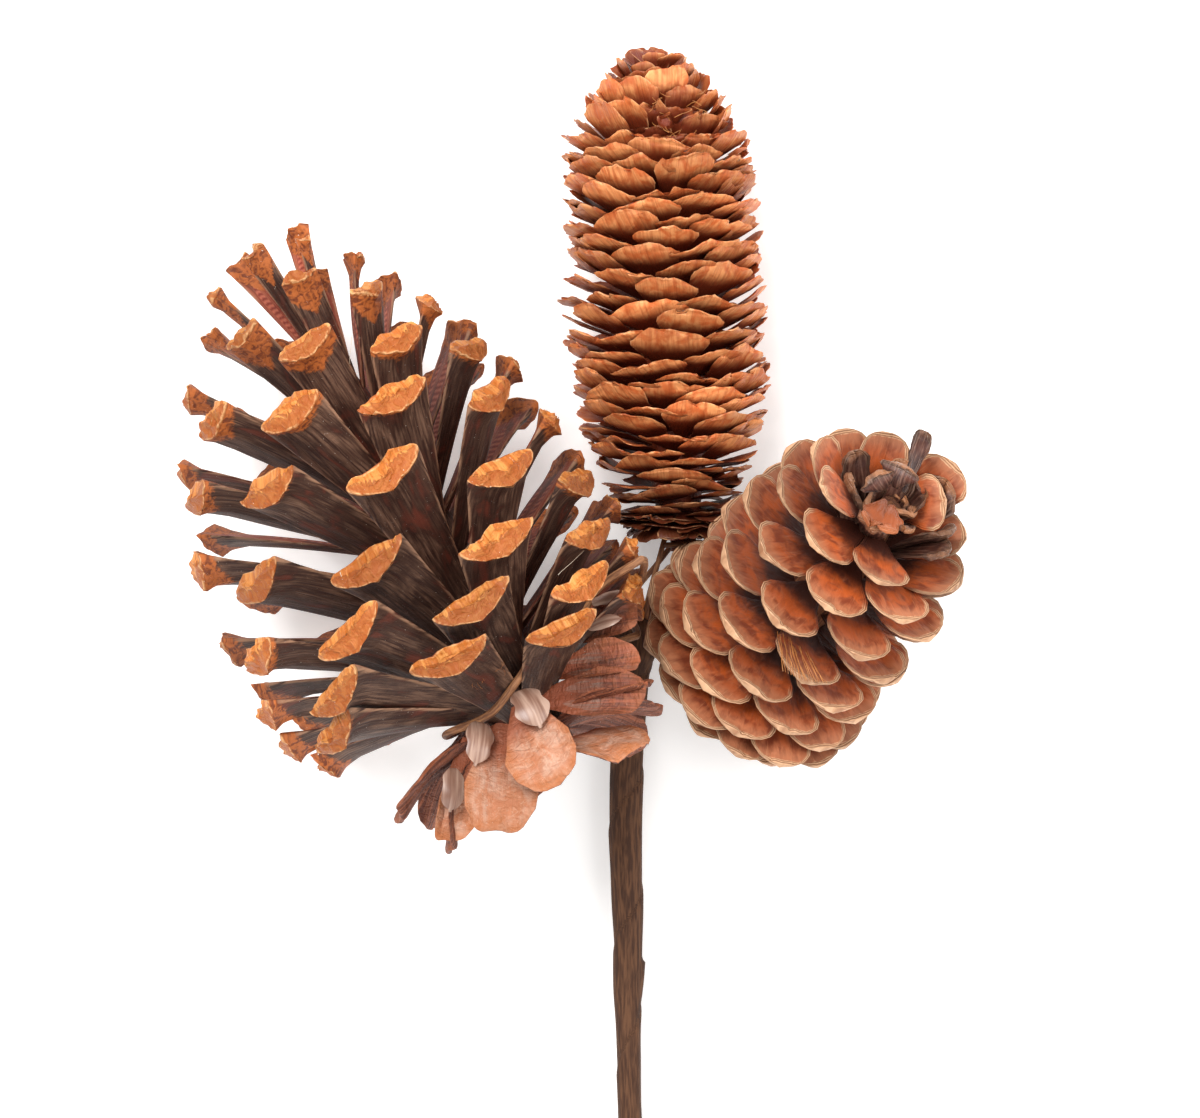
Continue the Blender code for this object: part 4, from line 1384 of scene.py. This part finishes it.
@dataclass
class Wires:
    """The three wires that hold the cones, round and covered with brown paper."""

    way: tuple[tuple[float, float, float], ...] = (
        (40.0, 0.0, 30.0), (32.0, 0.5, 30.0), (24.5, 0.5, 34.0), (18.0, 0.0, 68.0), (17.0, 0.0, 118.0),
        (18.5, -2.5, 170.0), (21.5, -4.8, 214.0), (21.8, -7.6, 252.0), (24.2, -3.7, 279.6),
        (19.8, 2.3, 303.4), (25.5, 3.5, 329.9), (35.9, 7.6, 329.6), (52.3, 7.2, 331.3),
    )
    steps: int = 33
    depth: float = 7.0
    rises: tuple[float, float] = (0.8, 2.8)
    end_circle: float = 4.0
    gap: float = 0.35
    thick: float = 1.0
    thin: float = 0.7
    winding: float = 440.0
    winding_steps: int = 14
    pitch: float = 1.9
    finish: FibreFinish = FibreFinish("wire_paper", "5a3422", "a8744c", 0.65, 2.2, 0.25, 0.0002, 0.4)

    def end(self, place: float) -> list[np.ndarray]:
        """Start of a wire in the taped head, at an angle round it."""
        top, down = stem_point(0.0), stem_way(0.0)
        angle = math.radians(place)
        start = top + np.array([math.cos(angle), 0.0, math.sin(angle)]) * self.end_circle
        return [start + down * self.depth, *(start - down * rise for rise in self.rises)]

    def on_cone(self, growth: Growth, radius: float, height: float, turn: float) -> np.ndarray:
        """Point at a distance from a cone's axis and a turn round it, in millimetres and degrees."""
        _, side, across = growth.axes()
        angle = math.radians(turn)
        return growth.axis_points(np.array(height)) + (side * math.cos(angle) + across * math.sin(angle)) * radius

    def round_large(self) -> list[np.ndarray]:
        """Path of the wire between the large cone's scales."""
        middle = [self.on_cone(LARGE_GROWTH, *smooth_point(self.way, step / (self.steps - 1)))
                  for step in range(self.steps)]
        return [*self.end(165.0), *middle, *reversed(self.end(105.0))]

    def round_stalk(self, growth: Growth, near: float, ends: tuple[float, float]) -> list[np.ndarray]:
        """Path of a thin wire wound round a cone's stalk."""
        radius = growth.stalk[0] + self.thin + self.gap + 0.2
        lowest = growth.foot() - growth.stalk[1] + 1.2
        path = self.end(ends[0])
        for step in range(self.winding_steps + 1):
            turned = self.winding * step / self.winding_steps
            turn = near - (self.winding - 360.0) / 2 + turned
            path.append(self.on_cone(growth, radius, lowest + self.pitch * turned / 360.0, turn))
        return [*path, *reversed(self.end(ends[1]))]

    @staticmethod
    def soften(path: Sequence[np.ndarray], rounds: int = 2) -> np.ndarray:
        """Cut the corners of a path so that it runs smooth."""
        points = np.array(path)
        for _ in range(rounds):
            near = points[:-1] * 0.75 + points[1:] * 0.25
            far = points[:-1] * 0.25 + points[1:] * 0.75
            middle = np.stack([near, far], axis=1).reshape(-1, 3)
            points = np.concatenate([points[:1], middle, points[-1:]])
        return points * MM

    def build(self) -> None:
        """Make the three wires."""
        material = self.finish.material()
        paths = (
            ("wire_large_cone", self.round_large(), self.thick),
            ("wire_spruce_cone", self.round_stalk(SPRUCE_GROWTH, 155.0, (225.0, 45.0)), self.thin),
            ("wire_small_cone", self.round_stalk(SMALL_GROWTH, 196.0, (285.0, 345.0)), self.thin),
        )
        for number, (node, path, radius) in enumerate(paths):
            data = MeshData()
            tube(data, self.soften(path), radius * MM, 12, 0.05, 40 + number)
            attach(data.build(node + "_paper", material, 60.0), node, node)


@dataclass(frozen=True)
class Strand:
    """A thin fibre between two picture places with heights, sagging by some millimetres."""

    start: tuple[float, float, float]
    end: tuple[float, float, float]
    sag: float = 0.0
    radius: float = 0.09

    def path(self, seed: int, steps: int = 12) -> np.ndarray:
        """Points of the fibre in metres.

        Args:
            seed: picks its small waves.
            steps: number of points.

        Returns:
            The points.
        """
        share = np.linspace(0, 1, steps)[:, None]
        line = seen(*self.start) + (seen(*self.end) - seen(*self.start)) * share
        bow = 4 * share * (1 - share)
        wave = np.stack([cloud(np.concatenate([share * 3.0, share * 0 + axis, share * 0], axis=1), seed)
                         for axis in range(3)], axis=1)
        return (line + bow * np.array([0.0, -0.3 * self.sag, self.sag]) + bow * wave * 0.35) * MM


@dataclass
class Trim:
    """Seed wings, torn fibres and resin threads that stay on the cones."""

    wings: tuple[Leaf, ...] = (
        Leaf((480, 722, 78), (475, 766, 84), 6.8, tilt=-14.0, curl=2.4, hollow=-0.6, index=1),
        Leaf((453, 768, 74), (450, 812, 76), 5.8, tilt=-18.0, curl=1.8, hollow=-0.5, index=2),
        Leaf((520, 690, 84), (541, 728, 90), 8.4, tilt=-16.0, curl=2.4, hollow=-0.8, index=3),
        Leaf((592, 603, 72), (632, 594, 72), 3.2, tilt=-30.0, curl=0.7, index=4),
        Leaf((588, 628, 73), (622, 618, 75), 3.2, tilt=-30.0, curl=0.7, index=5),
    )
    wing_finish: FibreFinish = FibreFinish("seed_wing_satin", "6b4433", "bd9d8a", 0.32, 0.6, 0.05, 0.0002, 0.5)
    fibre_finish: FibreFinish = FibreFinish("golden_fibre", "8a4a20", "c9874a", 0.5, 2.0, 0.5, 0.00005, 0.4)
    pale_finish: FibreFinish = FibreFinish("resin_thread", "bfa183", "eadbc6", 0.4, 2.0, 0.5, 0.00005, 0.5)

    def torn_scale(self) -> list[Strand]:
        """Fibres that hang across the torn scale of the small cone."""
        chance = random.Random(5)
        strands = []
        for number in range(17):
            part = number / 16
            start = (777 + 34 * part, 630 + 27 * part, 66.0)
            end = (783 + 44 * part, 675 + 12 * part - 8 * abs(part - 0.5), 70.0)
            start = (start[0] + chance.uniform(-2, 2), start[1] + chance.uniform(-3, 3), start[2])
            strands.append(Strand(start, end, chance.uniform(1.5, 3.5), chance.uniform(0.07, 0.13)))
        return strands

    def hollow_threads(self) -> list[Strand]:
        """Golden threads in the hollow near the top of the spruce cone."""
        chance = random.Random(8)
        strands = []
        for _ in range(18):
            across, down = chance.uniform(648, 698), chance.uniform(92, 142)
            turn, length = chance.uniform(-0.6, 2.2), chance.uniform(8, 20)
            end = (across + length * math.cos(turn), down + length * math.sin(turn), chance.uniform(39, 45))
            strands.append(Strand((across, down, chance.uniform(37, 43)), end, chance.uniform(-1, 2), 0.09))
        return strands

    def tufts(self) -> list[Strand]:
        """Short orange fibres near the wire and below the worn ends."""
        chance = random.Random(9)
        strands = []
        places = ((478, 684, 88, 9), (500, 664, 88, 5), (255, 345, 64, 5), (215, 350, 60, 5))
        for across, down, height, count in places:
            for _ in range(count):
                start = (across + chance.uniform(-9, 9), down + chance.uniform(-6, 6), height)
                turn, length = chance.uniform(0, 6.28), chance.uniform(3, 9)
                end = (start[0] + length * math.cos(turn), start[1] + length * math.sin(turn),
                       height + chance.uniform(-2, 3))
                strands.append(Strand(start, end, chance.uniform(0, 1), 0.035))
        return strands

    def resin(self) -> list[Strand]:
        """Pale threads of dry resin between the large cone's scales."""
        return [
            Strand((600, 530, 78), (558, 575, 84), 1.0, 0.05),
            Strand((352, 335, 66), (350, 372, 70), 0.4, 0.06),
        ]

    def sheet(self, data: MeshData, leaf: Leaf) -> None:
        """Add a thin curled strip.

        Args:
            data: the mesh to add to.
            leaf: its place and size.
        """
        along = np.linspace(0, 1, 22)[:, None]
        angle = np.arange(16)[None, :] / 16 * 2 * math.pi
        half = leaf.width / 2 * np.clip(1 - (2 * np.abs(along - 0.46)) ** 2.6, 0.02, 1) ** 0.6
        half = half * (1 + 0.16 * cloud(np.stack([along * 5, along * 0, along * 0], axis=-1), leaf.index + 20))
        spread = half * np.cos(angle)
        lift = 0.10 * np.sin(angle) + 0 * along
        lift += 0.25 * cloud(np.stack(np.broadcast_arrays(spread * 0.5, along * 3, lift * 0), axis=-1), leaf.index)
        grid = leaf.place(along + 0 * spread, spread, lift)
        place = np.stack([spread, along * leaf.length + 0 * spread, 0 * spread + leaf.index * 5.1], axis=-1)
        data.add_tube(grid, {"blade": place})

    def build(self) -> None:
        """Make the wings and the threads."""
        wings = MeshData()
        for leaf in self.wings:
            self.sheet(wings, leaf)
        attach(wings.build("seed_wings", self.wing_finish.material(), 60.0), "large_pine_cone")
        golden, pale = self.fibre_finish.material(), self.pale_finish.material()
        groups = (
            ("torn_scale_fibres", "small_pine_cone", self.torn_scale(), golden),
            ("hollow_threads", "spruce_cone", self.hollow_threads(), golden),
            ("scale_tufts", "large_pine_cone", self.tufts(), golden),
            ("resin_threads", "large_pine_cone", self.resin(), pale),
        )
        for name, slot, strands, material in groups:
            data = MeshData()
            for number, strand in enumerate(strands):
                tube(data, strand.path(number), strand.radius * MM, 6, 0.1, number)
            attach(data.build(name, material, 60.0), slot)


@dataclass
class Studio:
    """Floor, light and camera."""

    height: float = 1.145
    lens: float = 132.0
    sensor: float = 36.0
    floor_size: float = 6.0
    world: float = 0.48

    def build(self) -> None:
        """Set up everything round the pick."""
        size = self.floor_size
        mesh = bpy.data.meshes.new("floor")
        level = -0.0006
        corners = [(-size, -size, level), (size, -size, level), (size, size, level), (-size, size, level)]
        mesh.from_pydata(corners, [], [(0, 1, 2, 3)])
        mesh.materials.append(FloorFinish().material())
        floor = bpy.data.objects.new("floor", mesh)
        bpy.context.scene.collection.objects.link(floor)
        self.lamp("key", (-0.35, 0.55, 1.25), 0.6, 18.5)
        self.lamp("fill", (0.75, 0.15, 1.0), 0.8, 7.0)
        self.lamp("front", (0.0, -0.75, 0.9), 0.9, 6.0)
        world = bpy.data.worlds.new("studio")
        world.use_nodes = True
        back = next(node for node in world.node_tree.nodes if node.type == "BACKGROUND")
        back.inputs["Color"].default_value = WHITE
        back.inputs["Strength"].default_value = self.world
        bpy.context.scene.world = world
        bpy.context.scene.view_settings.view_transform = "Standard"
        data = bpy.data.cameras.new("camera")
        data.lens, data.sensor_width, data.clip_start = self.lens, self.sensor, 0.05
        camera = bpy.data.objects.new("camera", data)
        camera.location = (-CENTRE_MM[0] * MM, -CENTRE_MM[1] * MM, self.height)
        bpy.context.scene.collection.objects.link(camera)
        bpy.context.scene.camera = camera

    def lamp(self, name: str, place: tuple[float, float, float], size: float, power: float) -> None:
        """Add a square soft light that looks at the pick.

        Args:
            name: its name.
            place: where it stands, in metres.
            size: its side in metres.
            power: its power in watts.
        """
        data = bpy.data.lights.new(name, "AREA")
        data.size, data.energy = size, power
        lamp = bpy.data.objects.new(name, data)
        lamp.location = place
        lamp.rotation_euler = (Vector((0.0, 0.03, 0.03)) - Vector(place)).to_track_quat("-Z", "Y").to_euler()
        bpy.context.scene.collection.objects.link(lamp)


def main() -> None:
    """Build every piece of the pick in order."""
    logging.basicConfig(level=logging.INFO, format="%(name)s: %(message)s")
    OpenCone("large_cone_scales", LARGE_GROWTH, 36, 30.0, OpenConeFinish(), LARGE_STATIONS, LOW_STATIONS,
             widen=0.88, blunt=0.12, node="large_pine_cone", leaves=BROAD_LEAVES).build()
    PaperyCone("spruce_cone_scales", SPRUCE_GROWTH, 18, 50.0, PaperyConeFinish(), SPRUCE_STATIONS,
               widen=1.14, node="spruce_cone").build()
    RimmedCone("small_cone_scales", SMALL_GROWTH, 36, 50.0, RimmedConeFinish(), SMALL_STATIONS,
               widen=1.18, node="small_pine_cone", leaves=APEX_LEAVES).build()
    TapedStem().build()
    Wires().build()
    Trim().build()
    StemRod().build()
    Studio().build()


if __name__ == "__main__":
    main()
